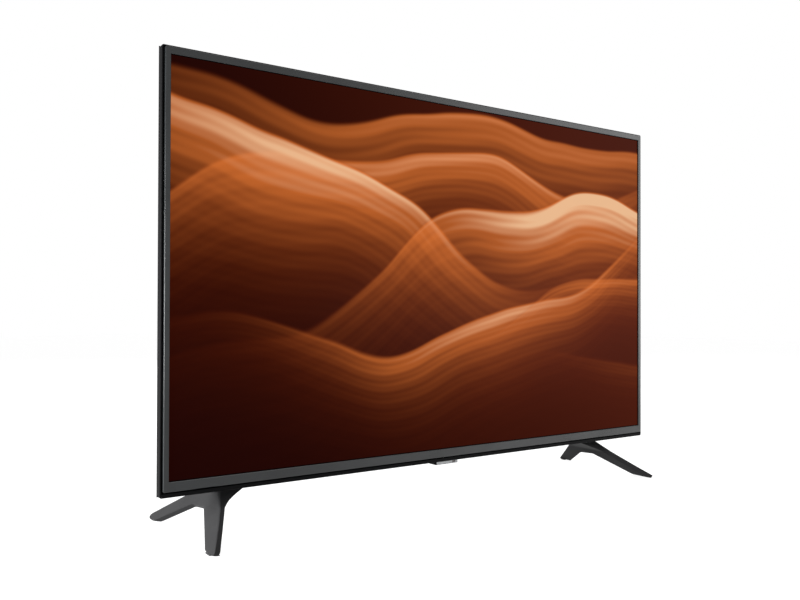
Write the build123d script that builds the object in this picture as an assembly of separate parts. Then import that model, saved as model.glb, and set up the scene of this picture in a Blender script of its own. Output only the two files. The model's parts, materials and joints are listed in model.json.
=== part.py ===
from build123d import *
from math import hypot, radians, tan
import os

# A flat screen television on two forked feet, 43-inch class.
# Lengths are millimetres. X runs to the right as seen from the front, Y runs back and Z is up.
# The origin lies on the floor, under the middle of the stand. A depth is a distance behind the bezel's face.

# Screen and bezel
picture_width = 941.2
picture_height = 529.4
border_side = 2.4
border_height = 4.2
bezel_side = 7.5
bezel_top = 9.0
bezel_bottom = 12.4
bezel_face = 1.5
bezel_rim = 1.8
bezel_edge = 0.5
bezel_corner = 2.0
rim_past_tray = 1.0

# Layers behind the bezel, from the front
gasket_thick = 0.5
gasket_inset = 0.7
glass_thick = 1.4
glass_overlap = 2.5
middle_wall = 1.0
shelf_thick = 0.8
shelf_gap = 1.4
film_thick = 0.3
plate_thick = 1.6
film_overlap = 4.4
liner_thick = 0.3
sheet_steel = 0.8
mouth_inset = 0.6
tray_deep = 16.5
tray_slope = 12.0

# Back light
strip_rows = 4
strip_wide = 12.0
strip_thick = 1.0
strip_end_gap = 20.0
lamps_in_row = 9
chip_side = 3.0
chip_tall = 0.8
lens_radius = 7.0
lens_tall = 5.0
lens_hollow = 3.0
liner_hole_margin = 1.5
pin_foot = 5.0
pin_tip = 1.0

# Rear cover
groove_side = 2.0
groove_top = 0.3
groove_bottom = 2.4
band_side = 2.0
band_top = 1.9
band_bottom = 5.2
band_front = 2.5
band_back = 13.0
band_round = 1.0
cabinet_corner = 3.0
cabinet_depth = 80.0
cover_wall = 2.2
cover_slope = 14.0
ledge_deep = 2.0
ledge_inset = 2.5
bulge_inset = 54.5
bulge_draw = 25.0
bulge_tall = 399.6
bulge_top_slope = 26.0
bulge_heel_deep = 12.0
bulge_heel = 12.0

# Wall mount pattern
vesa_pitch = 200.0
vesa_rise = 230.0
vesa_thread = 3.0
vesa_post = 7.0
vesa_flange = 12.0
vesa_flange_thick = 2.0
vesa_thread_deep = 20.0

# Vents and sound slots
vent_wide = 2.6
vent_tall = 34.0
vent_pitch = 8.0
vents_in_field = 28
vent_field_inset = 180.0
vent_below_edge = 30.0
sound_slot_wide = 2.0
sound_slot_long = 26.0
sound_slot_pitch = 5.0
sound_slots = 13

# Boards
board_thick = 1.6
board_rise = 60.0
board_tall = 190.0
standoff_tall = 6.0
standoff_radius = 3.2
board_screw = 1.5
board_screw_head = 2.8
board_screw_head_tall = 1.6
board_screw_long = 5.0
board_hole_inset = 6.0
board_from_post = 20.0
power_from_inlet = 5.0
main_from_tray = 1.1
tcon_half = 60.0
tcon_low = 66.0
tcon_tall = 36.0
source_near = 24.0
source_far = 234.0
source_low = 31.0
source_tall = 22.0
source_thick = 1.2
wifi_wide = 34.0
wifi_tall = 22.0
wifi_rise = 350.0
wifi_can_inset = 6.0
wifi_can_thick = 1.6

# Films that fold round the tray's lower edge, and the flat ribbons
flex_count = 4
flex_wide = 40.0
flex_thick = 0.2
flex_bend = 1.2
ribbon_wide = 16.0
ribbon_thick = 0.4
ribbon_lap = 8.0
ribbon_lift = 7.0

# Leads
lamp_lead_radius = 1.2
lamp_lead_hole = 3.0
lamp_lead_bend = 2.0
lamp_lead_lift = 4.0
speaker_lead_radius = 1.0
speaker_lead_bend = 2.5
speaker_lead_depth = 40.0
speaker_lead_rise = 48.0
speaker_lead_side = 7.0

# Parts on the boards. The shares run across and up the board from its lower left corner.
transformer_wide = 34.0
transformer_tall = 40.0
transformer_deep = 24.0
transformer_step = 1.5
transformer_core = 10.0
transformer_shares = ((0.56, 0.62), (0.56, 0.28))
large_can = 12.5
small_can = 8.0
capacitor_deep = 30.0
capacitor_bevel = 1.2
large_can_shares = ((0.22, 0.70), (0.22, 0.50))
small_can_shares = ((0.84, 0.74), (0.84, 0.60), (0.84, 0.25))
fin_thick = 2.0
fin_gap = 6.0
power_sink_wide = 46.0
power_sink_tall = 23.0
power_sink_deep = 26.0
power_sink_shares = ((0.36, 0.86), (0.36, 0.14))
main_sink_side = 62.0
main_sink_deep = 14.0
main_sink_shares = (0.42, 0.55)
tuner_wide = 44.0
tuner_tall = 30.0
tuner_deep = 12.0

# Sockets
pocket_inset = 35.0
pocket_wide = 93.0
pocket_low = 64.0
pocket_tall = 190.0
pocket_floor = 28.0
port_first = 14.0
port_pitch = 19.5
port_deep = 14.0
port_show = 0.8
shield_steel = 0.5
port_order = ("hdmi", "hdmi", "hdmi", "usb", "usb", "lan", "optical", "aerial", "audio")
hdmi_wide = 15.0
hdmi_deep = 5.6
usb_wide = 13.2
usb_deep = 6.6
lan_wide = 16.0
lan_deep = 13.6
lan_hole_wide = 11.8
lan_hole_deep = 8.0
tongue_thick = 1.0
aerial_radius = 4.7
aerial_bore = 2.4
aerial_box = 14.0
aerial_show = 5.5
optical_side = 10.0
optical_hole = 6.0
optical_end = 6.0
audio_side = 9.0
audio_bore = 1.8
audio_end = 4.5
socket_gap = 0.4
inlet_inset = 32.0
inlet_room = 48.0
inlet_low = 78.0
inlet_tall = 64.0
inlet_wide = 22.0
inlet_deep = 13.0
inlet_long = 22.0
inlet_wall = 1.8
inlet_hole_deep = 12.0
inlet_pin = 1.2
inlet_pin_pitch = 8.6

# Speakers
speaker_inset = 120.0
speaker_long = 160.0
speaker_from_tray = 4.0
speaker_from_heel = 2.0
speaker_tall = 39.0
speaker_wall = 2.0
cone_wide = 66.0
basket_room = 1.0
cone_rise = 9.0
cone_thick = 0.8
magnet_room = 3.0
magnet_tall = 9.0
ear_long = 14.0
ear_thick = 4.0
ear_rise = 16.0
grommet_radius = 4.6
grommet_waist = 3.6
grommet_bore = 2.6
grommet_tall = 6.0
peg_radius = 2.3

# Feet
foot_height = 63.9
foot_front_reach = 53.4
foot_rear_reach = 147.0
foot_top_inset = 44.0
foot_lean = 55.0
foot_toe_thick = 13.0
foot_knee_thick = 12.5
foot_flare = 42.0
foot_lip = 1.6
foot_knee_out = 16.0
foot_knee_share = 0.62
foot_edge = 0.9
foot_inner_round = 6.0
tenon_inset = 5.1
tenon_wide = 27.0
tenon_front = 41.5
tenon_back = 62.5
tenon_tall = 12.0
foot_screw = 2.0
foot_screw_head = 3.8
foot_screw_head_tall = 2.6
foot_screw_seat = 6.0
foot_screw_pitch = 15.0
foot_screw_inset = 13.0
bracket_steel = 2.0
bracket_past_inside = 8.0
bracket_past_outside = 7.0
bracket_back = 66.0
bracket_tall = 40.0
nut_radius = 4.0
nut_tall = 4.0
pad_thick = 1.6
pad_show = 0.4
pad_wide = 9.0
pad_front_long = 12.0
pad_rear_long = 8.0

# The foot's side outline, as shares of the stand's depth from the front toe and of the foot's height
foot_top_shares = ((0.4636, 1.0),)
front_toe_shares = ((0.0, 0.055), (0.018, 0.0), (0.107, 0.0))
arch_shares = ((0.4863, 0.560), (0.633, 0.523))
rear_toe_shares = ((0.9224, 0.0), (0.980, 0.0), (1.0, 0.075))
rear_top_shares = ((0.5983, 1.0),)
flare_shares = (0.45, 0.835)

# Pod under the middle of the lower edge
pod_half = 23.0
pod_front = 9.0
pod_back = 27.5
pod_drop = 6.2
pod_wall = 1.2
pod_round = 0.8
pod_hole_half = 18.0
pod_trim_thick = 0.6
pod_trim_margin = 1.2
window_wide = 7.0
window_x = 14.0
receiver_hole = 1.2
pod_pillar = 2.0
pod_pillar_x = 14.5
pod_board_thick = 1.2
pod_board_gap = 1.2

# Control stick
stick_cap = 3.6
stick_cap_tall = 4.0
stick_cap_show = 1.6
stick_cap_dish = 0.5
stick_tilt_degrees = 4
stick_press = 0.5
stick_pivot_rise = 8.6
stick_stem = 1.2
stick_collar = 1.9
stick_collar_tall = 0.6
stick_nose = 0.7
press_gap = 0.2
yoke_half = 2.8
yoke_tall = 3.0
ring_inner = 3.2
ring_outer = 4.8
ring_tall = 2.4
trunnion = 0.75
switch_inner = 5.3
switch_wall = 1.2
switch_below = 3.2
switch_above = 5.0
dome_radius = 2.4
dome_thick = 0.4

# Fastenings of the cover and clearances
cover_screw = 1.45
cover_screw_head = 3.0
cover_screw_head_tall = 1.2
cover_screw_long = 2.8
cover_screw_seat = 1.4
cover_screw_edge = 20.0
pillar_radius = 5.2
pillar_inset = 94.0
pillar_rise = 44.0
pillar_head_room = 3.6
screw_fit = 0.05
screw_end_room = 0.5
pivot_fit = 0.05
snug = 0.3
play = 0.5
overrun = 1.0

# Sizes that follow from the ones above
opening_half = picture_width / 2 + border_side
opening_tall = picture_height + 2 * border_height
frame_half = opening_half + bezel_side
frame_low = foot_height + band_bottom + groove_bottom
opening_low = frame_low + bezel_bottom
opening_high = opening_low + opening_tall
frame_high = opening_high + bezel_top
picture_low = opening_low + border_height
picture_high = picture_low + picture_height
picture_half = picture_width / 2
cabinet_half = frame_half + groove_side + band_side
cabinet_low = foot_height
cabinet_high = frame_high + groove_top + band_top
front_y = (foot_front_reach - foot_rear_reach) / 2

glass_front = bezel_face + gasket_thick
glass_back = glass_front + glass_thick
shelf_back = glass_back + shelf_thick
prism_back = shelf_back + film_thick
film_back = prism_back + film_thick
plate_back = film_back + plate_thick
flange_front = plate_back + liner_thick
flange_back = flange_front + sheet_steel
bezel_depth = flange_back + rim_past_tray
tray_floor = flange_front + tray_deep
tray_back = tray_floor + sheet_steel
strip_front = tray_floor - strip_thick
liner_front = strip_front - liner_thick
flat_back = tray_back + snug + cover_wall
ledge_back = bezel_depth + ledge_deep
board_front = tray_back + standoff_tall
board_back = board_front + board_thick

inner_inset = bezel_rim + snug + middle_wall
inner_half = frame_half - inner_inset
inner_low = frame_low + inner_inset
inner_high = frame_high - inner_inset
flex_depth = glass_front + glass_thick / 2
flex_z = (inner_low + opening_low - glass_overlap) / 2
flex_back = tray_back + source_thick / 2
tray_low = flex_z + flex_bend + snug
mouth_half = picture_half - mouth_inset
mouth_low = picture_low + mouth_inset
mouth_high = picture_high - mouth_inset
floor_half = mouth_half - tray_slope
floor_low = mouth_low + tray_slope
floor_high = mouth_high - tray_slope
row_pitch = (floor_high - floor_low) / strip_rows
lamp_pitch = 2 * (floor_half - strip_end_gap) / lamps_in_row

cover_floor = cabinet_low + cover_wall
bulge_high = cabinet_low + bulge_tall
bulge_half = cabinet_half - bulge_inset
bulge_floor_deep = cabinet_depth - bulge_heel_deep
vent_field_x = bulge_half - vent_field_inset
pillar_x = bulge_half - pillar_inset
pocket_right = bulge_half - pocket_inset
pocket_left = pocket_right - pocket_wide
inlet_left = inlet_inset - bulge_half
inlet_right = inlet_left + inlet_room
main_left = vesa_pitch / 2 + board_from_post
main_right = pocket_left - cover_wall - main_from_tray
power_left = inlet_right + power_from_inlet
power_right = -main_left
port_left = main_right - port_deep
port_mouth = pocket_left + port_show
board_low = frame_low + board_rise
board_high = board_low + board_tall
speaker_far = bulge_half - speaker_inset
speaker_near = speaker_far - speaker_long
speaker_front = tray_back + speaker_from_tray
speaker_back = bulge_floor_deep - speaker_from_heel
magnet_radius = (speaker_back - speaker_front) / 2 - speaker_wall - magnet_room
cone_deep = speaker_back - speaker_front - 2 * (3 * speaker_wall + basket_room)
foot_top_outer = bulge_half - foot_top_inset
tenon_right = foot_top_outer - tenon_inset
tenon_left = tenon_right - tenon_wide
foot_screw_x = tenon_right - foot_screw_inset
bracket_left = tenon_left - bracket_past_inside
bracket_right = tenon_right + bracket_past_outside
pod_low = cabinet_low - pod_drop
pod_middle = (pod_front + pod_trim_thick + pod_back) / 2
stick_pivot = cabinet_low + stick_pivot_rise


# Ways of drawing

def facing(depth):
    """Plane seen square on from the front, with its own y pointing up."""
    return Plane(origin=(0, front_y + depth, 0), x_dir=(1, 0, 0), z_dir=(0, -1, 0))


def slab(outline, front, back):
    """An (x, z) outline made solid between two depths."""
    return extrude(facing(back) * outline, amount=back - front, dir=(0, -1, 0))


def rect(left, right, low, high):
    return Pos((left + right) / 2, (low + high) / 2) * Rectangle(right - left, high - low)


def square(x, z, wide, tall):
    return Pos(x, z) * Rectangle(wide, tall)


def round_rect(left, right, low, high, radius):
    return Pos((left + right) / 2, (low + high) / 2) * RectangleRounded(right - left, high - low, radius)


def block(left, right, front, back, low, high):
    return slab(rect(left, right, low, high), front, back)


def rod_back(x, z, radius, front, back):
    """A round rod that runs from front to back."""
    return slab(Pos(x, z) * Circle(radius), front, back)


def rod_up(x, depth, radius, low, high):
    """A round rod that stands upright."""
    return extrude(Plane(origin=(x, front_y + depth, low)) * Circle(radius), amount=high - low)


def rod_across(depth, z, radius, left, right):
    """A round rod that runs from left to right."""
    plane = Plane(origin=(left, front_y + depth, z), x_dir=(0, 1, 0), z_dir=(1, 0, 0))
    return extrude(plane * Circle(radius), amount=right - left)


def side_on(outline, left, right):
    """A (depth, z) outline made solid between two places across."""
    plane = Plane(origin=(left, front_y, 0), x_dir=(0, 1, 0), z_dir=(1, 0, 0))
    return extrude(plane * outline, amount=right - left, dir=(1, 0, 0))


def from_above(outline, low, high):
    """An (x, depth) outline made solid between two heights."""
    return extrude(Plane(origin=(0, front_y, low)) * outline, amount=high - low, dir=(0, 0, 1))


def polygon(points):
    return Polygon(*points, align=None)


def opening_outline(grow):
    """The bezel's opening, grown all round."""
    half = opening_half + grow
    return rect(-half, half, opening_low - grow, opening_high + grow)


def picture_outline(grow):
    half = picture_half + grow
    return rect(-half, half, picture_low - grow, picture_high + grow)


def frame_outline(inset):
    """The bezel's outer edge, drawn in all round."""
    half = frame_half - inset
    return rect(-half, half, frame_low + inset, frame_high - inset)


def mouth_outline(inset):
    """The tray's mouth, drawn in all round."""
    half = mouth_half - inset
    return rect(-half, half, mouth_low + inset, mouth_high - inset)


def tray_form(grow, front, back):
    """The tray's tapering room, grown all round by a wall."""
    run = (back - tray_floor) / tray_deep * tray_slope
    back_end = facing(back) * mouth_outline(tray_slope + run - grow)
    return loft([facing(front) * mouth_outline(-grow), back_end])


def group(pieces):
    """Separate solids kept in one node."""
    return Compound([solid for piece in pieces for solid in piece.solids()])


def mirrored(shape):
    return mirror(shape, about=Plane.YZ)


def both_sides(shape):
    return group([shape, mirrored(shape)])


def strip_heights():
    return [floor_low + row_pitch * (row + 0.5) for row in range(strip_rows)]


def lamp_places():
    across = [(column - (lamps_in_row - 1) / 2) * lamp_pitch for column in range(lamps_in_row)]
    return [(x, z) for z in strip_heights() for x in across]


def pin_places():
    """Plate pins stand midway between lamps and between rows."""
    across = [(column - (lamps_in_row - 2) / 2) * lamp_pitch for column in range(0, lamps_in_row - 1, 2)]
    return [(x, floor_low + row_pitch * row) for row in range(1, strip_rows) for x in across]


def vesa_places():
    middle = frame_low + vesa_rise
    half = vesa_pitch / 2
    return [(x, middle + z) for x in (-half, half) for z in (-half, half)]


def flat_screw_places():
    """Short screws round the cover's flat edge, midway between the lamp rows and along the top."""
    side = (bulge_half + cabinet_half - cover_slope) / 2
    sides = [(x, floor_low + row_pitch * row) for row in range(1, strip_rows) for x in (-side, side)]
    top = floor_high - cover_screw_edge / 2
    return sides + [(x, top) for x in (-floor_half / 2, 0, floor_half / 2)]


def pillar_places():
    return [(x, frame_low + pillar_rise) for x in (-pillar_x, pillar_x)]


# Screen and bezel

def front_bezel():
    outer = round_rect(-frame_half, frame_half, frame_low, frame_high, bezel_corner)
    face = slab(outer - opening_outline(0), 0, bezel_face)
    face = chamfer(face.faces().sort_by(Axis.Y)[0].edges(), bezel_edge)
    return face + slab(outer - frame_outline(bezel_rim), bezel_face, bezel_depth)


def lcd_cell():
    return slab(opening_outline(glass_overlap), glass_front, glass_back)


def panel_gasket():
    return slab(opening_outline(glass_overlap) - opening_outline(gasket_inset), bezel_face, glass_front)


def flex_places():
    pitch = (source_far - source_near) / flex_count
    return [side * (source_near + pitch * (index + 0.5)) for side in (-1, 1) for index in range(flex_count)]


def ribbon_up(x, width, thick, points, bend):
    """A flat ribbon whose route is drawn on (depth, z)."""
    route = FilletPolyline(*[(x, front_y + depth, z) for depth, z in points], radius=bend)
    section = Plane(origin=route @ 0, x_dir=(1, 0, 0), z_dir=route % 0) * Rectangle(width, thick)
    return sweep(section, path=route)


def ribbon_across(z, width, thick, points, bend):
    """A flat ribbon whose route is drawn on (x, depth)."""
    route = FilletPolyline(*[(x, front_y + depth, z) for x, depth in points], radius=bend)
    section = Plane(origin=route @ 0, x_dir=(0, 0, 1), z_dir=route % 0) * Rectangle(width, thick)
    return sweep(section, path=route)


def wire(radius, points, bend):
    route = FilletPolyline(*[(x, front_y + depth, z) for x, depth, z in points], radius=bend)
    return sweep(Plane(origin=route @ 0, z_dir=route % 0) * Circle(radius), path=route)


def flex_films():
    glass_low = opening_low - glass_overlap
    board_edge = frame_low + source_low
    route = [(flex_depth, glass_low), (flex_depth, flex_z), (flex_back, flex_z), (flex_back, board_edge)]
    return group([ribbon_up(x, flex_wide, flex_thick, route, flex_bend) for x in flex_places()])


def middle_frame():
    outer = frame_outline(bezel_rim + snug)
    inner = frame_outline(inner_inset)
    frame = slab(outer - inner, bezel_face, bezel_depth - snug)
    frame += slab(inner - picture_outline(shelf_gap), glass_back, shelf_back)
    for x in flex_places():
        slit = square(x, flex_z, flex_wide + 2 * play, 2 * play)
        frame -= slab(slit, glass_back - overrun, shelf_back + overrun)
    return frame


def film(front, back):
    return slab(picture_outline(film_overlap), front, back)


# Tray and back light

def tray_edge():
    return rect(-inner_half + snug, inner_half - snug, tray_low, inner_high - snug)


def back_chassis():
    tray = slab(tray_edge() - mouth_outline(0), flange_front, flange_back)
    tray += tray_form(sheet_steel, flange_front, tray_back) - tray_form(0, flange_front, tray_floor)
    for x, z in flat_screw_places() + pillar_places():
        tray -= rod_back(x, z, cover_screw + screw_fit, tray_floor - overrun, tray_back + overrun)
    lead_x, lead_z = lamp_lead_place()
    return tray - rod_back(lead_x, lead_z, lamp_lead_hole, tray_floor - overrun, tray_back + overrun)


def reflector_sheet():
    """White liner: a flange under the plate, sloping sides and a floor with a hole for each lens."""
    inset = snug + liner_thick
    liner = slab(picture_outline(film_overlap) - mouth_outline(inset), plate_back, flange_front)
    liner += liner_form(snug, strip_front) - liner_form(inset, liner_front)
    hole = lens_radius + liner_hole_margin
    for x, z in lamp_places():
        liner -= rod_back(x, z, hole, liner_front - overrun, strip_front + overrun)
    return liner


def liner_form(inset, back):
    run = tray_slope * (back - flange_front) / tray_deep
    return loft([facing(plate_back) * mouth_outline(inset), facing(back) * mouth_outline(inset + run)])


def led_strips():
    half = floor_half - strip_end_gap
    return group([block(-half, half, strip_front, tray_floor, z - strip_wide / 2, z + strip_wide / 2)
                  for z in strip_heights()])


def led_chips():
    half = chip_side / 2
    return group([block(x - half, x + half, strip_front - chip_tall, strip_front, z - half, z + half)
                  for x, z in lamp_places()])


def led_lens(x, z):
    """A dome with a hollow over the chip, standing on the strip."""
    dome = rod_back(x, z, lens_radius, strip_front - lens_tall, strip_front)
    dome = fillet(dome.faces().sort_by(Axis.Y)[0].edges(), lens_tall / 2)
    return dome - rod_back(x, z, lens_hollow, strip_front - lens_tall / 2, strip_front + overrun)


def led_lenses():
    return group([led_lens(x, z) for x, z in lamp_places()])


def diffuser_pins():
    pins = []
    for x, z in pin_places():
        foot = facing(liner_front) * Pos(x, z) * Circle(pin_foot)
        tip = facing(plate_back) * Pos(x, z) * Circle(pin_tip)
        pins.append(loft([foot, tip]))
    return group(pins)


def lamp_lead_place():
    """The lead leaves the tray behind a strip, to the right of the power board."""
    return power_right + board_hole_inset, strip_heights()[1]


def led_lead():
    x, z = lamp_lead_place()
    end_x = power_right - board_hole_inset
    top = board_back + lamp_lead_lift
    points = [(x, tray_floor, z), (x, top, z), (end_x, top, z), (end_x, board_back, z)]
    return wire(lamp_lead_radius, points, lamp_lead_bend)


def speaker_leads():
    """Each lead runs from the top of its box to the lower edge of the main board."""
    top = cover_floor + speaker_tall
    run_z = frame_low + speaker_lead_rise + speaker_lead_radius
    right_start = speaker_near + ear_long
    right_end = main_left + 2 * ear_long
    right = [(right_start, speaker_lead_depth, top), (right_start, speaker_lead_depth, run_z),
             (right_end, speaker_lead_depth, run_z), (right_end, speaker_lead_depth, board_low + ear_long),
             (right_end, board_back, board_low + ear_long)]
    left_end = right_end - speaker_lead_side
    left = [(-right_start, speaker_lead_depth, top), (-right_start, speaker_lead_depth, run_z),
            (left_end, speaker_lead_depth, run_z), (left_end, speaker_lead_depth, board_low + ear_long),
            (left_end, board_back, board_low + ear_long)]
    return group([wire(speaker_lead_radius, points, speaker_lead_bend) for points in (left, right)])


# Boards

def screw_back(x, z, radius, head, head_tall, seat, long):
    """A screw driven from behind, its head on the seat's depth and its tip in front of it."""
    screw = rod_back(x, z, radius, seat - long, seat) + rod_back(x, z, head, seat, seat + head_tall)
    return screw - rod_back(x, z, radius / 2, seat + head_tall / 2, seat + head_tall + overrun)


def corner_holes(left, right, low, high):
    inset = board_hole_inset
    return [(x, z) for x in (left + inset, right - inset) for z in (low + inset, high - inset)]


def board_holes():
    tcon = corner_holes(-tcon_half, tcon_half, frame_low + tcon_low, frame_low + tcon_low + tcon_tall)
    power = corner_holes(power_left, power_right, board_low, board_high)
    main = corner_holes(main_left, main_right, board_low, board_high)
    return power + main + tcon


def board(left, right, low, high):
    plate = block(left, right, board_front, board_back, low, high)
    for x, z in corner_holes(left, right, low, high):
        plate -= rod_back(x, z, board_screw + screw_fit, board_front - overrun, board_back + overrun)
    return plate


def power_board():
    return board(power_left, power_right, board_low, board_high)


def main_board():
    return board(main_left, main_right, board_low, board_high)


def tcon_board():
    return board(-tcon_half, tcon_half, frame_low + tcon_low, frame_low + tcon_low + tcon_tall)


def source_boards():
    low = frame_low + source_low
    outline = rect(source_near, source_far, low, low + source_tall)
    return both_sides(slab(outline, tray_back, tray_back + source_thick))


def board_standoffs():
    deep = board_screw_long - board_thick + screw_end_room
    posts = []
    for x, z in board_holes():
        post = rod_back(x, z, standoff_radius, tray_back, board_front)
        post -= rod_back(x, z, board_screw + screw_fit, board_front - deep, board_front + overrun)
        posts.append(post)
    return group(posts)


def board_screws():
    return group([screw_back(x, z, board_screw, board_screw_head, board_screw_head_tall, board_back,
                             board_screw_long) for x, z in board_holes()])


def on_board(left, right, share_x, share_z):
    return left + (right - left) * share_x, board_low + board_tall * share_z


def power_transformers():
    pieces = []
    for share_x, share_z in transformer_shares:
        x, z = on_board(power_left, power_right, share_x, share_z)
        top = board_back + transformer_deep
        core = slab(square(x, z, transformer_wide, transformer_tall / 2), board_back, top)
        winding = square(x, z, 2 * transformer_core, transformer_tall)
        pieces.append(core + slab(winding, board_back, top - transformer_step))
    return group(pieces)


def power_capacitors():
    cans = []
    for radius, shares in ((large_can, large_can_shares), (small_can, small_can_shares)):
        for share_x, share_z in shares:
            x, z = on_board(power_left, power_right, share_x, share_z)
            can = rod_back(x, z, radius, board_back, board_back + capacitor_deep)
            cans.append(chamfer(can.faces().sort_by(Axis.Y)[-1].edges(), capacitor_bevel))
    return group(cans)


def finned(x, z, wide, tall, front, deep):
    """A base with upright fins behind it."""
    sink = slab(square(x, z, wide, tall), front, front + fin_thick)
    count = int(wide / fin_gap)
    pitch = (wide - fin_thick) / (count - 1)
    for index in range(count):
        fin_x = x + (index - (count - 1) / 2) * pitch
        sink += slab(square(fin_x, z, fin_thick, tall), front, front + deep)
    return sink


def power_heatsinks():
    pieces = []
    for share_x, share_z in power_sink_shares:
        x, z = on_board(power_left, power_right, share_x, share_z)
        pieces.append(finned(x, z, power_sink_wide, power_sink_tall, board_back, power_sink_deep))
    return group(pieces)


def main_heatsink():
    x, z = on_board(main_left, main_right, *main_sink_shares)
    return finned(x, z, main_sink_side, main_sink_side, board_back, main_sink_deep)


def tuner_can():
    z = port_heights("aerial")[0]
    x = port_left - tuner_wide / 2
    top = board_back + tuner_deep
    inside = square(x, z, tuner_wide - 2 * shield_steel, tuner_tall - 2 * shield_steel)
    can = slab(square(x, z, tuner_wide, tuner_tall), board_back, top)
    return can - slab(inside, board_back - overrun, top - shield_steel)


def wifi_module():
    half, low, high = wifi_wide / 2, frame_low + wifi_rise, frame_low + wifi_rise + wifi_tall
    card_back = tray_back + board_thick
    card = block(-half, half, tray_back, card_back, low, high)
    return card + block(-half + wifi_can_inset, half - wifi_can_inset, card_back, card_back + wifi_can_thick,
                        low + wifi_can_inset, high - wifi_can_inset)


def panel_ribbon():
    """One ribbon from the main board to the timing board, and one from there to each source board."""
    on_top = board_back + ribbon_thick / 2
    lifted = on_top + ribbon_lift
    gap = main_left - tcon_half
    z = frame_low + tcon_low + tcon_tall / 2
    bend = ribbon_lift / 2
    across = [(tcon_half - ribbon_lap, on_top), (tcon_half + gap / 6, on_top), (tcon_half + gap / 3, lifted),
              (main_left - gap / 3, lifted), (main_left - gap / 6, on_top), (main_left + ribbon_lap, on_top)]
    pieces = [ribbon_across(z, ribbon_wide, ribbon_thick, across, bend)]
    low_end = frame_low + source_low + source_tall
    source_top = tray_back + source_thick + ribbon_thick / 2
    high_end = frame_low + tcon_low
    tcon_under = board_front - ribbon_thick / 2
    middle = (low_end + high_end) / 2
    route = [(source_top, low_end - ribbon_lap), (source_top, middle - ribbon_lap / 4),
             (tcon_under, middle + ribbon_lap / 4), (tcon_under, high_end + ribbon_lap)]
    x = source_near + ribbon_wide / 2 + play
    pieces += [ribbon_up(side * x, ribbon_wide, ribbon_thick, route, ribbon_thick * 2) for side in (-1, 1)]
    return group(pieces)


# Sockets on the edge of the main board, facing the side of the set

def port_heights(kind):
    first = frame_low + pocket_low + port_first
    return [first + port_pitch * row for row, name in enumerate(port_order) if name == kind]


def shell_port(z, wide, deep):
    """A folded metal shell, open at the side of the set."""
    half, back = wide / 2, board_back + deep
    box = block(port_left, port_mouth, board_back, back, z - half, z + half)
    half -= shield_steel
    return box - block(port_left + shield_steel, port_mouth + overrun, board_back + shield_steel,
                       back - shield_steel, z - half, z + half)


def tongue(z, wide, deep):
    middle = board_back + deep / 2
    half = wide / 2 - 2 * shield_steel - socket_gap
    return block(port_left + shield_steel, port_mouth - port_show, middle - tongue_thick / 2,
                 middle + tongue_thick / 2, z - half, z + half)


def hdmi_ports():
    return group([shell_port(z, hdmi_wide, hdmi_deep) for z in port_heights("hdmi")])


def usb_ports():
    return group([shell_port(z, usb_wide, usb_deep) for z in port_heights("usb")])


def port_tongues():
    hdmi = [tongue(z, hdmi_wide, hdmi_deep) for z in port_heights("hdmi")]
    return group(hdmi + [tongue(z, usb_wide, usb_deep) for z in port_heights("usb")])


def lan_port():
    z = port_heights("lan")[0]
    half, hole = lan_wide / 2, lan_hole_wide / 2
    front = board_back + (lan_deep - lan_hole_deep) / 2
    box = block(port_left, port_mouth, board_back, board_back + lan_deep, z - half, z + half)
    return box - block(port_left + port_show, port_mouth + overrun, front, front + lan_hole_deep, z - hole,
                       z + hole)


def optical_socket():
    z = port_heights("optical")[0]
    half, hole = optical_side / 2, optical_hole / 2
    middle = board_back + half
    box = block(port_left, port_mouth, board_back, board_back + optical_side, z - half, z + half)
    return box - block(port_left + optical_end, port_mouth + overrun, middle - hole, middle + hole, z - hole,
                       z + hole)


def aerial_socket():
    z = port_heights("aerial")[0]
    half, tip = aerial_box / 2, pocket_left + aerial_show
    middle = board_back + half
    back_end = block(port_left, main_right - snug, board_back, board_back + aerial_box, z - half, z + half)
    barrel = rod_across(middle, z, aerial_radius, main_right - snug, tip)
    return back_end + barrel - rod_across(middle, z, aerial_bore, port_left + aerial_radius, tip + overrun)


def audio_socket():
    z = port_heights("audio")[0]
    half = audio_side / 2
    box = block(port_left, port_mouth, board_back, board_back + audio_side, z - half, z + half)
    return box - rod_across(board_back + half, z, audio_bore, port_left + audio_end, port_mouth + overrun)


def port_cuts(left, right, margin):
    """The room that the sockets need through a wall between two places across."""
    sizes = {"hdmi": (hdmi_wide, hdmi_deep), "usb": (usb_wide, usb_deep), "lan": (lan_wide, lan_deep),
             "optical": (optical_side, optical_side), "aerial": (2 * aerial_radius, aerial_box),
             "audio": (audio_side, audio_side)}
    cuts = []
    for kind, (wide, deep) in sizes.items():
        half, front, back = wide / 2 + margin, board_back - margin, board_back + deep + margin
        cuts += [block(left, right, front, back, z - half, z + half) for z in port_heights(kind)]
    return cuts


def inlet_height():
    return frame_low + inlet_low + inlet_tall / 2


def ac_inlet():
    z, half = inlet_height(), inlet_wide / 2
    mouth = inlet_right - port_show
    floor, end = mouth + inlet_hole_deep, mouth + inlet_long
    back = board_back + inlet_deep
    body = block(mouth, end, board_back, back, z - half, z + half)
    half -= inlet_wall
    body -= block(mouth - overrun, floor, board_back + inlet_wall, back - inlet_wall, z - half, z + half)
    for depth, pin_z in inlet_pin_places():
        body -= rod_across(depth, pin_z, inlet_pin + screw_fit, floor - overrun, end - inlet_wall)
    return body


def inlet_pin_places():
    return [(board_back + inlet_deep / 2, inlet_height() + side * inlet_pin_pitch / 2) for side in (-1, 1)]


def inlet_pins():
    left = inlet_right - port_show + inlet_wall
    right = inlet_right - port_show + inlet_long - inlet_wall
    return group([rod_across(depth, z, inlet_pin, left, right) for depth, z in inlet_pin_places()])


# Speakers, firing down through the cover's floor

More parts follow.
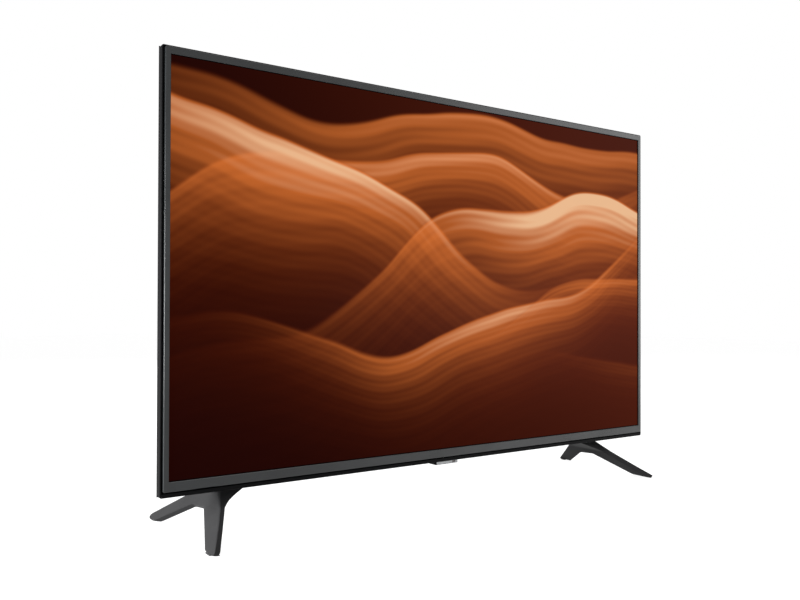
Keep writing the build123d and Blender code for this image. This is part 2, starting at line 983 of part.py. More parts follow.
def speaker_middle():
    return (speaker_near + speaker_far) / 2, (speaker_front + speaker_back) / 2


def oval(grow):
    """The cone's oval, seen from above and grown all round."""
    return Pos(*speaker_middle()) * Ellipse(cone_wide / 2 + grow, cone_deep / 2 + grow)


def ear_places():
    depth = speaker_middle()[1]
    return [(speaker_near - ear_long / 2, depth), (speaker_far + ear_long / 2, depth)]


def speaker_box():
    low, high = cover_floor, cover_floor + speaker_tall
    box = block(speaker_near, speaker_far, speaker_front, speaker_back, low, high)
    box -= block(speaker_near + speaker_wall, speaker_far - speaker_wall, speaker_front + speaker_wall,
                 speaker_back - speaker_wall, low + speaker_wall, high - speaker_wall)
    box -= from_above(oval(0), low - overrun, low + speaker_wall + overrun)
    half, ear_low = ear_long / 2, low + ear_rise
    for x, depth in ear_places():
        ear = block(x - half, x + half, depth - half, depth + half, ear_low, ear_low + ear_thick)
        box += ear - rod_up(x, depth, grommet_waist + screw_fit, low, high)
    return box


def speaker_grommets():
    """Rubber rings with a waist that the ears sit in, round pegs of the cover."""
    middle = cover_floor + ear_rise + ear_thick / 2
    rings = []
    for x, depth in ear_places():
        ring = rod_up(x, depth, grommet_waist, middle - grommet_tall / 2, middle + grommet_tall / 2)
        ring += rod_up(x, depth, grommet_radius, middle - grommet_tall / 2, middle - ear_thick / 2)
        ring += rod_up(x, depth, grommet_radius, middle + ear_thick / 2, middle + grommet_tall / 2)
        rings.append(ring - rod_up(x, depth, grommet_bore, cover_floor, middle + grommet_tall))
    return both_sides(group(rings))


def at_height(z, outline):
    return Plane(origin=(0, front_y, z)) * outline


def speaker_cone():
    """An oval cone whose rim lies on the box floor and whose neck reaches up to the magnet."""
    low = cover_floor + speaker_wall
    top = low + cone_rise
    neck = Pos(*speaker_middle()) * Circle(magnet_radius / 2)
    inner_neck = Pos(*speaker_middle()) * Circle(magnet_radius / 2 - cone_thick)
    outside = loft([at_height(low, oval(cone_thick)), at_height(top, neck)])
    return outside - loft([at_height(low, oval(-cone_thick)), at_height(top - cone_thick, inner_neck)])


def speaker_driver():
    """The basket stands on the box floor round the cone and carries the magnet."""
    low = cover_floor + speaker_wall
    top = low + cone_rise + snug
    basket = from_above(oval(2 * speaker_wall), low, top + speaker_wall)
    basket -= from_above(oval(speaker_wall), low - overrun, top)
    x, depth = speaker_middle()
    basket -= rod_up(x, depth, magnet_radius / 2 + speaker_wall, top - overrun, top + speaker_wall + overrun)
    return basket + rod_up(x, depth, magnet_radius, top + speaker_wall, top + speaker_wall + magnet_tall)


# Rear cover

def bulge_form(inset):
    """The deep lower part: a side outline crossed with a plan outline, both drawn in by the inset."""
    side = polygon([(band_front, cabinet_low), (bulge_floor_deep, cabinet_low),
                    (cabinet_depth, cabinet_low + bulge_heel), (cabinet_depth, bulge_high - bulge_top_slope),
                    (flat_back, bulge_high), (band_front, bulge_high)])
    plan = polygon([(-bulge_half, band_front), (bulge_half, band_front), (bulge_half, flat_back),
                    (bulge_half - bulge_draw, cabinet_depth), (-bulge_half + bulge_draw, cabinet_depth),
                    (-bulge_half, flat_back)])
    if inset:
        side = offset(side, amount=-inset, kind=Kind.INTERSECTION)
        plan = offset(plan, amount=-inset, kind=Kind.INTERSECTION)
    seen_from_side = side_on(side, -bulge_half, bulge_half)
    return seen_from_side & from_above(plan, cabinet_low - overrun, bulge_high + overrun)


def cover_form(inset, front):
    """The cover's outside, or its hollow when drawn in by the wall."""
    half, low, high = cabinet_half - inset, cabinet_low + inset, cabinet_high - inset
    band = slab(round_rect(-half, half, low, high, cabinet_corner), front, band_back)
    edge = facing(band_back) * rect(-half, half, low, high)
    flat = facing(flat_back - inset) * rect(-half + cover_slope, half - cover_slope, low + cover_slope,
                                            high - cover_slope)
    return band + loft([edge, flat]) + bulge_form(inset)


def recesses(grow):
    """The rooms of the socket recess and the mains recess, grown on the five closed sides."""
    places = ((pocket_left, pocket_right, frame_low + pocket_low, pocket_tall),
              (inlet_left, inlet_right, frame_low + inlet_low, inlet_tall))
    return [block(left - grow, right + grow, pocket_floor - grow, cabinet_depth + overrun, low - grow,
                  low + tall + grow) for left, right, low, tall in places]


def socket_trays():
    """Two trays let into the cover, with holes in their inner walls for the sockets and the inlet."""
    outside = cover_form(0, band_front)
    trays = [(walls & outside) - room for walls, room in zip(recesses(cover_wall), recesses(0))]
    for cut in port_cuts(pocket_left - cover_wall - overrun, pocket_left + overrun, socket_gap):
        trays[0] -= cut
    z, half = inlet_height(), inlet_wide / 2 + socket_gap
    trays[1] -= block(inlet_right - overrun, inlet_right + cover_wall + overrun, board_back - socket_gap,
                      board_back + inlet_deep + socket_gap, z - half, z + half)
    return group(trays)


def vents():
    top = bulge_high - bulge_top_slope - vent_below_edge
    slots = []
    for side in (-1, 1):
        for index in range(vents_in_field):
            x = side * vent_field_x + (index - (vents_in_field - 1) / 2) * vent_pitch
            slots.append(Pos(x, top - vent_tall / 2) * SlotOverall(vent_tall, vent_wide, rotation=90))
    return slab(Sketch() + slots, cabinet_depth - cover_wall - overrun, cabinet_depth + overrun)


def sound_slots_cut():
    x, depth = speaker_middle()
    slots = []
    for side in (-1, 1):
        for index in range(sound_slots):
            slot_x = side * x + (index - (sound_slots - 1) / 2) * sound_slot_pitch
            slots.append(Pos(slot_x, depth) * SlotOverall(sound_slot_long, sound_slot_wide, rotation=90))
    return from_above(Sketch() + slots, cabinet_low - overrun, cover_floor + overrun)


def rear_cover():
    shell = cover_form(0, band_front)
    shell = fillet(shell.faces().sort_by(Axis.Y)[0].edges(), band_round)
    shell -= cover_form(cover_wall, ledge_back)
    shell -= block(-frame_half - groove_side, frame_half + groove_side, band_front - overrun, bezel_depth,
                   frame_low - groove_bottom, frame_high + groove_top)
    shell -= slab(frame_outline(ledge_inset), bezel_depth - overrun, ledge_back + overrun)
    for room in recesses(cover_wall + snug):
        shell -= room
    for x, z in pillar_places():
        shell += rod_back(x, z, pillar_radius, tray_back, cabinet_depth - cover_wall)
        shell -= rod_back(x, z, pillar_head_room, tray_back + cover_wall, cabinet_depth + overrun)
        shell -= rod_back(x, z, cover_screw + screw_fit, tray_back - overrun, cabinet_depth)
    for x, z in flat_screw_places():
        shell -= rod_back(x, z, cover_screw + screw_fit, tray_back, flat_back + overrun)
        shell -= rod_back(x, z, pillar_head_room, flat_back - cover_screw_seat, flat_back + overrun)
    wall_front = cabinet_depth - cover_wall - overrun
    for x, z in vesa_places():
        shell -= rod_back(x, z, vesa_post + snug, wall_front, cabinet_depth + overrun)
    for x, depth in ear_places():
        peg = rod_up(x, depth, peg_radius, cover_floor, cover_floor + ear_rise + grommet_tall)
        shell += peg + mirrored(peg)
    tenon_hole = block(tenon_left - socket_gap, tenon_right + socket_gap, tenon_front - socket_gap,
                       tenon_back + socket_gap, cabinet_low - overrun, cover_floor + overrun)
    shell -= tenon_hole + mirrored(tenon_hole)
    hole_front = pod_front + pod_trim_thick + 2 * pod_wall
    shell -= block(-pod_hole_half, pod_hole_half, hole_front, pod_back - pod_wall, cabinet_low - overrun,
                   cover_floor + overrun)
    return shell - vents() - sound_slots_cut()


def rear_cover_screws():
    flat_seat = flat_back - cover_screw_seat
    pillar_seat = tray_back + cover_wall
    places = [(x, z, flat_seat) for x, z in flat_screw_places()]
    places += [(x, z, pillar_seat) for x, z in pillar_places()]
    tip = flat_seat - cover_screw_long
    return group([screw_back(x, z, cover_screw, cover_screw_head, cover_screw_head_tall, seat, seat - tip)
                  for x, z, seat in places])


def vesa_posts():
    posts = []
    for x, z in vesa_places():
        post = rod_back(x, z, vesa_flange, tray_back, tray_back + vesa_flange_thick)
        post += rod_back(x, z, vesa_post, tray_back, cabinet_depth)
        post -= rod_back(x, z, vesa_thread, cabinet_depth - vesa_thread_deep, cabinet_depth + overrun)
        posts.append(post)
    return group(posts)


# Feet. Each is a side outline crossed with a front outline.

def foot_side_outline():
    reach = foot_front_reach + foot_rear_reach
    rise = foot_height - pad_show
    shares = foot_top_shares + front_toe_shares + arch_shares + rear_toe_shares + rear_top_shares
    points = [(along * reach - foot_front_reach, pad_show + up * rise) for along, up in shares]
    outline = polygon(points)
    first = len(foot_top_shares + front_toe_shares)
    arch = points[first:first + len(arch_shares)]
    corners = [corner for corner in outline.vertices()
               if min(abs(corner.X - depth) + abs(corner.Y - z) for depth, z in arch) < snug]
    return fillet(corners, foot_inner_round)


def foot_front_outline():
    """A leaning leg whose inner side flares out in an arc under the cabinet."""
    rise = foot_height - pad_show
    bottom = foot_top_outer + foot_lean
    knee_outer, knee_up = foot_top_outer + foot_knee_out, pad_show + foot_knee_share * rise
    knee = (knee_outer - foot_knee_thick, knee_up)
    inner = foot_top_outer - foot_flare
    lip = (inner, foot_height - foot_lip)
    leg = Polyline(lip, (inner, foot_height), (foot_top_outer, foot_height), (knee_outer, knee_up),
                   (bottom, pad_show), (bottom - foot_toe_thick, pad_show), knee)
    along, up = flare_shares
    flare = ThreePointArc(knee, (foot_top_outer - along * foot_flare, pad_show + up * rise), lip)
    return make_face([leg, flare])


def foot_screw_depths():
    middle = (tenon_front + tenon_back) / 2
    return (middle - foot_screw_pitch / 2, middle + foot_screw_pitch / 2)


def pad_places():
    """Across, depth and length of the two rubber pads under a foot."""
    reach = foot_front_reach + foot_rear_reach
    x = foot_top_outer + foot_lean - foot_toe_thick / 2
    front = (front_toe_shares[1][0] + front_toe_shares[2][0]) / 2 * reach - foot_front_reach
    rear = (rear_toe_shares[0][0] + rear_toe_shares[1][0]) / 2 * reach - foot_front_reach
    return ((x, front, pad_front_long), (x, rear, pad_rear_long))


def foot():
    inner, outer = foot_top_outer - foot_flare, foot_top_outer + foot_lean
    body = side_on(foot_side_outline(), inner - overrun, outer + overrun)
    body &= slab(foot_front_outline(), -foot_front_reach - overrun, foot_rear_reach + overrun)
    free = [edge for edge in body.edges() if edge.center().Z < foot_height - snug]
    body = fillet(free, foot_edge)
    top = foot_height + tenon_tall
    body += block(tenon_left, tenon_right, tenon_front, tenon_back, foot_height - foot_edge, top)
    for depth in foot_screw_depths():
        body -= rod_up(foot_screw_x, depth, foot_screw + screw_fit, 0, top + overrun)
        body -= rod_up(foot_screw_x, depth, foot_screw_head + snug, 0, foot_height - foot_screw_seat)
    for x, depth, long in pad_places():
        body -= block(x - pad_wide / 2, x + pad_wide / 2, depth - long / 2, depth + long / 2, 0, pad_thick)
    return body


def foot_pads():
    pads = [block(x - pad_wide / 2, x + pad_wide / 2, depth - long / 2, depth + long / 2, 0, pad_thick)
            for x, depth, long in pad_places()]
    return both_sides(group(pads))


def foot_screws():
    seat = foot_height - foot_screw_seat
    head = seat - foot_screw_head_tall
    tip = foot_height + tenon_tall + bracket_steel + nut_tall
    screws = []
    for depth in foot_screw_depths():
        screw = rod_up(foot_screw_x, depth, foot_screw, seat, tip)
        screw += rod_up(foot_screw_x, depth, foot_screw_head, head, seat)
        screw -= rod_up(foot_screw_x, depth, foot_screw / 2, head - overrun, (head + seat) / 2)
        screws.append(screw)
    return both_sides(group(screws))


def foot_brackets():
    """A steel angle on the tenon, riveted to the back of the tray, with a threaded boss for each screw."""
    low = foot_height + tenon_tall
    top = frame_low + bracket_tall
    angle = block(bracket_left, bracket_right, tray_back, bracket_back, low, low + bracket_steel)
    angle += block(bracket_left, bracket_right, tray_back, tray_back + bracket_steel, low, top)
    for depth in foot_screw_depths():
        angle += rod_up(foot_screw_x, depth, nut_radius, low, low + bracket_steel + nut_tall)
    for depth in foot_screw_depths():
        angle -= rod_up(foot_screw_x, depth, foot_screw + screw_fit, low - overrun,
                        low + bracket_steel + nut_tall + overrun)
    return both_sides(angle)


# Pod with the receiver window and the control stick

def stick_reach():
    """How far the cap's side may travel at the pod's floor, with both tilts together."""
    one_way = (stick_pivot - pod_low) * tan(radians(stick_tilt_degrees))
    return hypot(one_way, one_way)


def pod_board_low():
    return stick_pivot + switch_above


def sensor_pod():
    front = pod_front + pod_trim_thick
    pod = block(-pod_half, pod_half, front, pod_back, pod_low, cabinet_low)
    pod = fillet(pod.edges().filter_by(Axis.Z) + pod.faces().sort_by(Axis.Z)[0].edges(), pod_round)
    half, floor = pod_half - pod_wall, pod_low + pod_wall
    pod -= block(-half, half, front + pod_wall, pod_back - pod_wall, floor, cabinet_low + overrun)
    pod -= rod_up(0, pod_middle, stick_cap + stick_reach() + snug, pod_low - overrun, floor + overrun)
    window_z = (pod_low + cabinet_low) / 2
    pod -= rod_back(window_x, window_z, receiver_hole, front - overrun, front + pod_wall + overrun)
    for side in (-1, 1):
        pod += rod_up(side * pod_pillar_x, pod_middle, pod_pillar, pod_low + pod_wall, pod_board_low())
    return pod


def trim_edges():
    return (-pod_half + pod_trim_margin, pod_half - pod_trim_margin, pod_low + pod_trim_margin / 2,
            cabinet_low - pod_trim_margin / 2)


def pod_trim():
    left, right, low, high = trim_edges()
    plate = slab(round_rect(left, right, low, high, pod_round), pod_front, pod_front + pod_trim_thick)
    return plate - slab(window_outline(screw_fit), pod_front - overrun, pod_front + pod_trim_thick + overrun)


def window_outline(grow):
    left, right, low, high = trim_edges()
    return Pos(window_x, (low + high) / 2) * SlotOverall(window_wide + 2 * grow, (high - low) / 2 + 2 * grow)


def receiver_window():
    return slab(window_outline(0), pod_front, pod_front + pod_trim_thick)


def pod_board():
    low = pod_board_low()
    front = pod_front + pod_trim_thick + pod_wall + pod_board_gap
    back = pod_back - pod_wall - pod_board_gap
    return block(-pod_hole_half, pod_hole_half, front, back, low, low + pod_board_thick)


def square_ring(outer, inner, low, high):
    outline = Pos(0, pod_middle) * (Rectangle(2 * outer, 2 * outer) - Rectangle(2 * inner, 2 * inner))
    return from_above(outline, low, high)


def rod_deep(z, radius, front, back):
    return rod_back(0, z, radius, pod_middle + front, pod_middle + back)


def switch_housing():
    """Four walls under the pod's board that carry the outer ring, and the dome that the stick presses."""
    outer = switch_inner + switch_wall
    walls = square_ring(outer, switch_inner, stick_pivot - switch_below, pod_board_low())
    walls -= rod_across(pod_middle, stick_pivot, trunnion + pivot_fit, -outer - overrun, outer + overrun)
    dome = rod_up(0, pod_middle, dome_radius, pod_board_low() - dome_thick, pod_board_low())
    return group([walls, dome])


def joystick_ring():
    """The outer ring turns in the housing about a line across the set."""
    ring = square_ring(ring_outer, ring_inner, stick_pivot - ring_tall / 2, stick_pivot + ring_tall / 2)
    end = switch_inner + switch_wall
    pin = rod_across(pod_middle, stick_pivot, trunnion, ring_outer, end)
    ring -= rod_deep(stick_pivot, trunnion + pivot_fit, -ring_outer - overrun, ring_outer + overrun)
    return ring + pin + mirrored(pin)


def joystick_yoke():
    """The yoke turns in the ring about a line from front to back, and guides the stem."""
    low, high = stick_pivot - yoke_tall / 2, stick_pivot + yoke_tall / 2
    outline = Pos(0, pod_middle) * Rectangle(2 * yoke_half, 2 * yoke_half)
    yoke = from_above(outline, low, high)
    yoke += rod_deep(stick_pivot, trunnion, -ring_outer, ring_outer)
    return yoke - rod_up(0, pod_middle, stick_stem + pivot_fit, low - overrun, high + overrun)


def stick_cap_high():
    return pod_low - stick_cap_show + stick_cap_tall


def joystick_stem():
    high = stick_pivot + yoke_tall / 2
    stem = rod_up(0, pod_middle, stick_stem, stick_cap_high(), high)
    stem += rod_up(0, pod_middle, stick_collar, high, high + stick_collar_tall)
    nose_high = pod_board_low() - dome_thick - stick_press - press_gap
    return stem + rod_up(0, pod_middle, stick_nose, high, nose_high)


def joystick_cap():
    low = pod_low - stick_cap_show
    cap = rod_up(0, pod_middle, stick_cap, low, stick_cap_high())
    cap = fillet(cap.faces().sort_by(Axis.Z)[0].edges(), stick_cap_dish)
    return cap - rod_up(0, pod_middle, stick_cap / 2, low - overrun, low + stick_cap_dish)


nodes = {
    "front_bezel": front_bezel(),
    "panel_gasket": panel_gasket(),
    "lcd_cell": lcd_cell(),
    "middle_frame": middle_frame(),
    "prism_sheet": film(shelf_back, prism_back),
    "diffuser_sheet": film(prism_back, film_back),
    "diffuser_plate": film(film_back, plate_back),
    "reflector_sheet": reflector_sheet(),
    "led_strips": led_strips(),
    "led_chips": led_chips(),
    "led_lenses": led_lenses(),
    "diffuser_pins": diffuser_pins(),
    "back_chassis": back_chassis(),
    "flex_films": flex_films(),
    "source_boards": source_boards(),
    "tcon_board": tcon_board(),
    "panel_ribbon": panel_ribbon(),
    "power_board": power_board(),
    "power_transformers": power_transformers(),
    "power_capacitors": power_capacitors(),
    "power_heatsinks": power_heatsinks(),
    "main_board": main_board(),
    "main_heatsink": main_heatsink(),
    "tuner_can": tuner_can(),
    "wifi_module": wifi_module(),
    "board_standoffs": board_standoffs(),
    "board_screws": board_screws(),
    "led_lead": led_lead(),
    "speaker_leads": speaker_leads(),
    "hdmi_ports": hdmi_ports(),
    "usb_ports": usb_ports(),
    "port_tongues": port_tongues(),
    "lan_port": lan_port(),
    "optical_socket": optical_socket(),
    "aerial_socket": aerial_socket(),
    "audio_socket": audio_socket(),
    "socket_trays": socket_trays(),
    "ac_inlet": ac_inlet(),
    "inlet_pins": inlet_pins(),
    "speaker_boxes": both_sides(speaker_box()),
    "speaker_drivers": both_sides(speaker_driver()),
    "speaker_cones": both_sides(speaker_cone()),
    "speaker_grommets": speaker_grommets(),
    "rear_cover": rear_cover(),
    "rear_cover_screws": rear_cover_screws(),
    "vesa_posts": vesa_posts(),
    "foot_right": foot(),
    "foot_left": mirrored(foot()),
    "foot_pads": foot_pads(),
    "foot_screws": foot_screws(),
    "foot_brackets": foot_brackets(),
    "sensor_pod": sensor_pod(),
    "pod_trim": pod_trim(),
    "receiver_window": receiver_window(),
    "pod_board": pod_board(),
    "switch_housing": switch_housing(),
    "joystick_ring": joystick_ring(),
    "joystick_yoke": joystick_yoke(),
    "joystick_stem": joystick_stem(),
    "joystick_cap": joystick_cap(),
}

os.makedirs("parts", exist_ok=True)
for name, shape in nodes.items():
    export_step(shape, "parts/" + name + ".step")
    print(name, len(shape.solids()), round(shape.volume, 2))
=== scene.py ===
import json
import math
import bpy
import numpy as np
from mathutils import Matrix, Vector


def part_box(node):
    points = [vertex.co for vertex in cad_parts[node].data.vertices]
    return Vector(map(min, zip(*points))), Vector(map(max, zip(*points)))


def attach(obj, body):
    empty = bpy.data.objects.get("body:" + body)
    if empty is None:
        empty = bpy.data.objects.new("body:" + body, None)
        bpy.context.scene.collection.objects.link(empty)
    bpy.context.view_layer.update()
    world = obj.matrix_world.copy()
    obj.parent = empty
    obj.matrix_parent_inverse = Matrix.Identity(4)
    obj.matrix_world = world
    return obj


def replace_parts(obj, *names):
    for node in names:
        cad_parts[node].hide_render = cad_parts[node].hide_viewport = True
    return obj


# A flat screen television on two forked feet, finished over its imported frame.
# Lengths are metres. X runs to the right seen from the front, Y runs back and Z is up.
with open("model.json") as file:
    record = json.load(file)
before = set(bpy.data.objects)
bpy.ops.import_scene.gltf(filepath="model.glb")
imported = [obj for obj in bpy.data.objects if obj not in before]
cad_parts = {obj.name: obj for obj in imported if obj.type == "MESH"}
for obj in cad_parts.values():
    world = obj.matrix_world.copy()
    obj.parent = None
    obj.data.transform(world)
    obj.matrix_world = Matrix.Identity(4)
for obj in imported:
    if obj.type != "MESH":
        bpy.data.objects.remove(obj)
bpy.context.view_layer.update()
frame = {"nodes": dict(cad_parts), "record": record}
nodes = frame["nodes"]
mm = 0.001
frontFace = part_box("front_bezel")[0].y     # depths are given from here
print("frame loaded,", len(nodes), "nodes")


# Shader tools

def feed(tree, socket, value):  # a socket is linked, anything else is set on the node itself
    if isinstance(value, bpy.types.NodeSocket):
        tree.links.new(value, socket)
    else:
        socket.default_value = value


def add(tree, kind, values=(), **settings):  # a node, its inputs given in order or by name
    node = tree.nodes.new("ShaderNode" + kind)
    for key, value in settings.items():
        setattr(node, key, value)
    for key, value in (values.items() if isinstance(values, dict) else enumerate(values)):
        feed(tree, node.inputs[key], value)
    return node


def calc(tree, operation, *values):
    return add(tree, "Math", values, operation=operation).outputs[0]


def mixColour(tree, share, first, second):
    node = add(tree, "Mix", data_type="RGBA")
    for place, value in ((0, share), (6, first), (7, second)):
        feed(tree, node.inputs[place], value)
    return node.outputs[2]


def remap(tree, value, low, high, newLow=0.0, newHigh=1.0, smooth=False):
    node = add(tree, "MapRange", {"Value": value, "From Min": low, "From Max": high, "To Min": newLow,
                                  "To Max": newHigh}, interpolation_type="SMOOTHSTEP" if smooth else "LINEAR")
    return node.outputs[0]


def noise(tree, place, scale, detail=3.0, rough=0.5):
    node = add(tree, "TexNoise", {"Vector": place, "Scale": scale, "Detail": detail, "Roughness": rough})
    return node.outputs[0]


def mapped(tree, place, **change):  # the same place, scaled or turned
    return add(tree, "Mapping", {"Vector": place, **change}).outputs[0]


def opaque(colour):
    return (*colour[:3], 1.0)


def scaled(colour, share):
    return tuple(channel * share for channel in colour)


def newMaterial(name, **sockets):
    material = bpy.data.materials.new(name)
    material.use_nodes = True
    tree = material.node_tree
    shader = tree.nodes["Principled BSDF"]
    for key, value in sockets.items():
        shader.inputs[key.replace("_", " ")].default_value = value
    return material, tree, shader


def objectPlace(tree):
    return add(tree, "TexCoord").outputs["Object"]


def looksBack(tree):  # 1 on a face that looks to the rear, 0 on a side and -1 on a front
    return add(tree, "SeparateXYZ", [add(tree, "NewGeometry").outputs["Normal"]]).outputs[1]


def addRelief(tree, shader, strength, deep, height):  # small bumps, their depth in millimetres
    bump = add(tree, "Bump", {"Strength": strength, "Distance": deep * mm, "Height": height})
    feed(tree, shader.inputs["Normal"], bump.outputs[0])


# Finishes of the moulded, brushed, sprayed and plated parts.
# grain is the size of the fine texture, cloud that of the slow change of tone, both in millimetres.
# lines stretches the grain along X, and change is how far the tone goes up and down.
# The paler colour given for faces that look to the rear is painted light on them, and ribs the pitch of the
# fine ribs on them.
finishes = {
    "bezel_satin": dict(colour=(0.015, 0.017, 0.018), rough=(0.26, 0.36), grain=0.5, lines=60, bump=0.12,
                        cloud=70, change=0.30, specular=0.40),
    # the cover's rear faces take a paler colour below, painted light that lifts them
    "cover_plastic": dict(colour=(0.0050, 0.0050, 0.0054), rough=(0.40, 0.55), grain=0.7, bump=0.22, cloud=60,
                          change=0.22, specular=0.03, paintedRearLight=(0.024, 0.024, 0.026), ribs=3.2),
    "foot_plastic": dict(colour=(0.031, 0.031, 0.032), rough=(0.42, 0.54), grain=0.5, bump=0.16, cloud=30,
                         change=0.12, specular=0.035),
    "foam": dict(colour=(0.016, 0.016, 0.017), rough=(0.9, 1.0), grain=0.6, bump=0.5, cloud=12, change=0.3),
    "inner_plastic": dict(colour=(0.035, 0.036, 0.038), rough=(0.45, 0.6), grain=0.8, bump=0.15, cloud=25,
                          change=0.15),
    "white_film": dict(colour=(0.84, 0.85, 0.86), rough=(0.35, 0.45), grain=0.4, bump=0.05, cloud=80,
                       change=0.03),
    "clear_plastic": dict(colour=(0.82, 0.85, 0.86), rough=(0.08, 0.14), grain=0.3, bump=0.03, cloud=8,
                          change=0.04, coat=0.5),
    "tray_steel": dict(colour=(0.50, 0.51, 0.52), rough=(0.30, 0.44), grain=6.0, bump=0.08, cloud=18,
                       change=0.24, metal=1.0, spangle=True),
    "strip_white": dict(colour=(0.76, 0.77, 0.77), rough=(0.35, 0.5), grain=0.5, bump=0.05, cloud=20,
                        change=0.05),
    "film_amber": dict(colour=(0.52, 0.23, 0.05), rough=(0.18, 0.28), grain=0.8, lines=20, bump=0.08, cloud=6,
                       change=0.2, coat=0.4),
    "ribbon_white": dict(colour=(0.72, 0.73, 0.74), rough=(0.3, 0.4), grain=0.9, lines=40, bump=0.25,
                         cloud=30, change=0.06),
    "wire_black": dict(colour=(0.022, 0.022, 0.024), rough=(0.4, 0.55), grain=0.6, bump=0.1, cloud=10,
                       change=0.2),
    "sink_aluminium": dict(colour=(0.60, 0.61, 0.63), rough=(0.28, 0.42), grain=0.4, lines=30, bump=0.15,
                           cloud=20, change=0.12, metal=1.0),
    "core_ferrite": dict(colour=(0.060, 0.060, 0.066), rough=(0.5, 0.7), grain=1.0, bump=0.4, cloud=8,
                         change=0.25),
    "can_black": dict(colour=(0.022, 0.022, 0.050), rough=(0.2, 0.3), grain=0.6, bump=0.06, cloud=9,
                      change=0.2, coat=0.3),
    "shell_metal": dict(colour=(0.66, 0.67, 0.68), rough=(0.16, 0.28), grain=0.5, lines=20, bump=0.08,
                        cloud=6, change=0.12, metal=1.0),
    "socket_black": dict(colour=(0.020, 0.020, 0.022), rough=(0.35, 0.5), grain=0.5, bump=0.12, cloud=8,
                         change=0.2),
    "pin_metal": dict(colour=(0.72, 0.56, 0.30), rough=(0.18, 0.3), grain=0.4, bump=0.06, cloud=5,
                      change=0.12, metal=1.0),
    "screw_steel": dict(colour=(0.050, 0.050, 0.054), rough=(0.3, 0.45), grain=0.3, bump=0.12, cloud=4,
                        change=0.35, metal=0.7),
    "post_steel": dict(colour=(0.56, 0.57, 0.58), rough=(0.24, 0.4), grain=0.4, bump=0.12, cloud=7,
                       change=0.16, metal=1.0),
    "cone_paper": dict(colour=(0.055, 0.054, 0.052), rough=(0.8, 0.95), grain=0.8, bump=0.5, cloud=6,
                       change=0.3),
    "soft_rubber": dict(colour=(0.022, 0.022, 0.023), rough=(0.7, 0.85), grain=0.6, bump=0.3, cloud=9,
                        change=0.25),
    "trim_silver": dict(colour=(0.23, 0.235, 0.24), rough=(0.26, 0.36), grain=0.4, lines=50, bump=0.08,
                        cloud=10, change=0.1, metal=0.85),
    "window_dark": dict(colour=(0.030, 0.007, 0.007), rough=(0.05, 0.09), grain=0.4, bump=0.02, cloud=5,
                        change=0.15, coat=0.7),
    "stick_black": dict(colour=(0.026, 0.026, 0.028), rough=(0.45, 0.6), grain=0.5, bump=0.25, cloud=4,
                        change=0.2),
}


texturing = dict(
    slowShare=0.7,              # share of the slow change in the tone, the grain has the rest
    spread=(0.3, 0.7),          # the part of the noise's range that is spread over the whole change
    reliefDeep=0.2,
    coatRough=0.12,
    rear=(0.15, 0.5),           # how far back a face looks where the rear colour begins and is full
    ribShare=0.5,               # height of the ribs against the grain's
)


def finishMaterial(name, colour, rough, grain, bump, cloud, change, lines=1, metal=0.0, specular=0.5,
                   coat=0.0, spangle=False, paintedRearLight=None, ribs=0.0):
    material, tree, shader = newMaterial(name, Metallic=metal, Specular_IOR_Level=specular, Coat_Weight=coat,
                                         Coat_Roughness=texturing["coatRough"])
    place = objectPlace(tree)
    if spangle:  # zinc crystals: cells of slightly different brightness
        cells = add(tree, "TexVoronoi", {"Vector": place, "Scale": 1 / (grain * mm)}).outputs["Color"]
        texture = add(tree, "SeparateColor", [cells]).outputs[0]
    else:
        texture = noise(tree, mapped(tree, place, Scale=(1 / lines, 1.0, 1.0)), 1 / (grain * mm), 2.0, 0.6)
    slow = noise(tree, place, 1 / (cloud * mm))
    mixed = calc(tree, "ADD", calc(tree, "MULTIPLY", slow, texturing["slowShare"]),
                 calc(tree, "MULTIPLY", texture, 1 - texturing["slowShare"]))
    share = remap(tree, mixed, *texturing["spread"])
    low, high = opaque(scaled(colour, 1 - change)), opaque(scaled(colour, 1 + change))
    # Faces that look to the rear get a paler colour, which is painted light, and are finely ribbed; the rim
    # round the screen is smooth.
    if paintedRearLight:
        rear = remap(tree, looksBack(tree), *texturing["rear"])
        low = mixColour(tree, rear, low, opaque(scaled(paintedRearLight, 1 - change)))
        high = mixColour(tree, rear, high, opaque(scaled(paintedRearLight, 1 + change)))
        height = add(tree, "SeparateXYZ", [place]).outputs[2]
        wave = calc(tree, "SINE", calc(tree, "MULTIPLY", height, 2 * math.pi / (ribs * mm)))
        wave = calc(tree, "MULTIPLY", calc(tree, "MULTIPLY", wave, rear), texturing["ribShare"])
        texture = calc(tree, "ADD", texture, wave)
    feed(tree, shader.inputs["Base Color"], mixColour(tree, share, low, high))
    feed(tree, shader.inputs["Roughness"], remap(tree, mixed, *texturing["spread"], *rough))
    addRelief(tree, shader, bump, texturing["reliefDeep"], texture)
    return material


materials = {name: finishMaterial(name, **recipe) for name, recipe in finishes.items()}
print("finishes made:", len(materials))


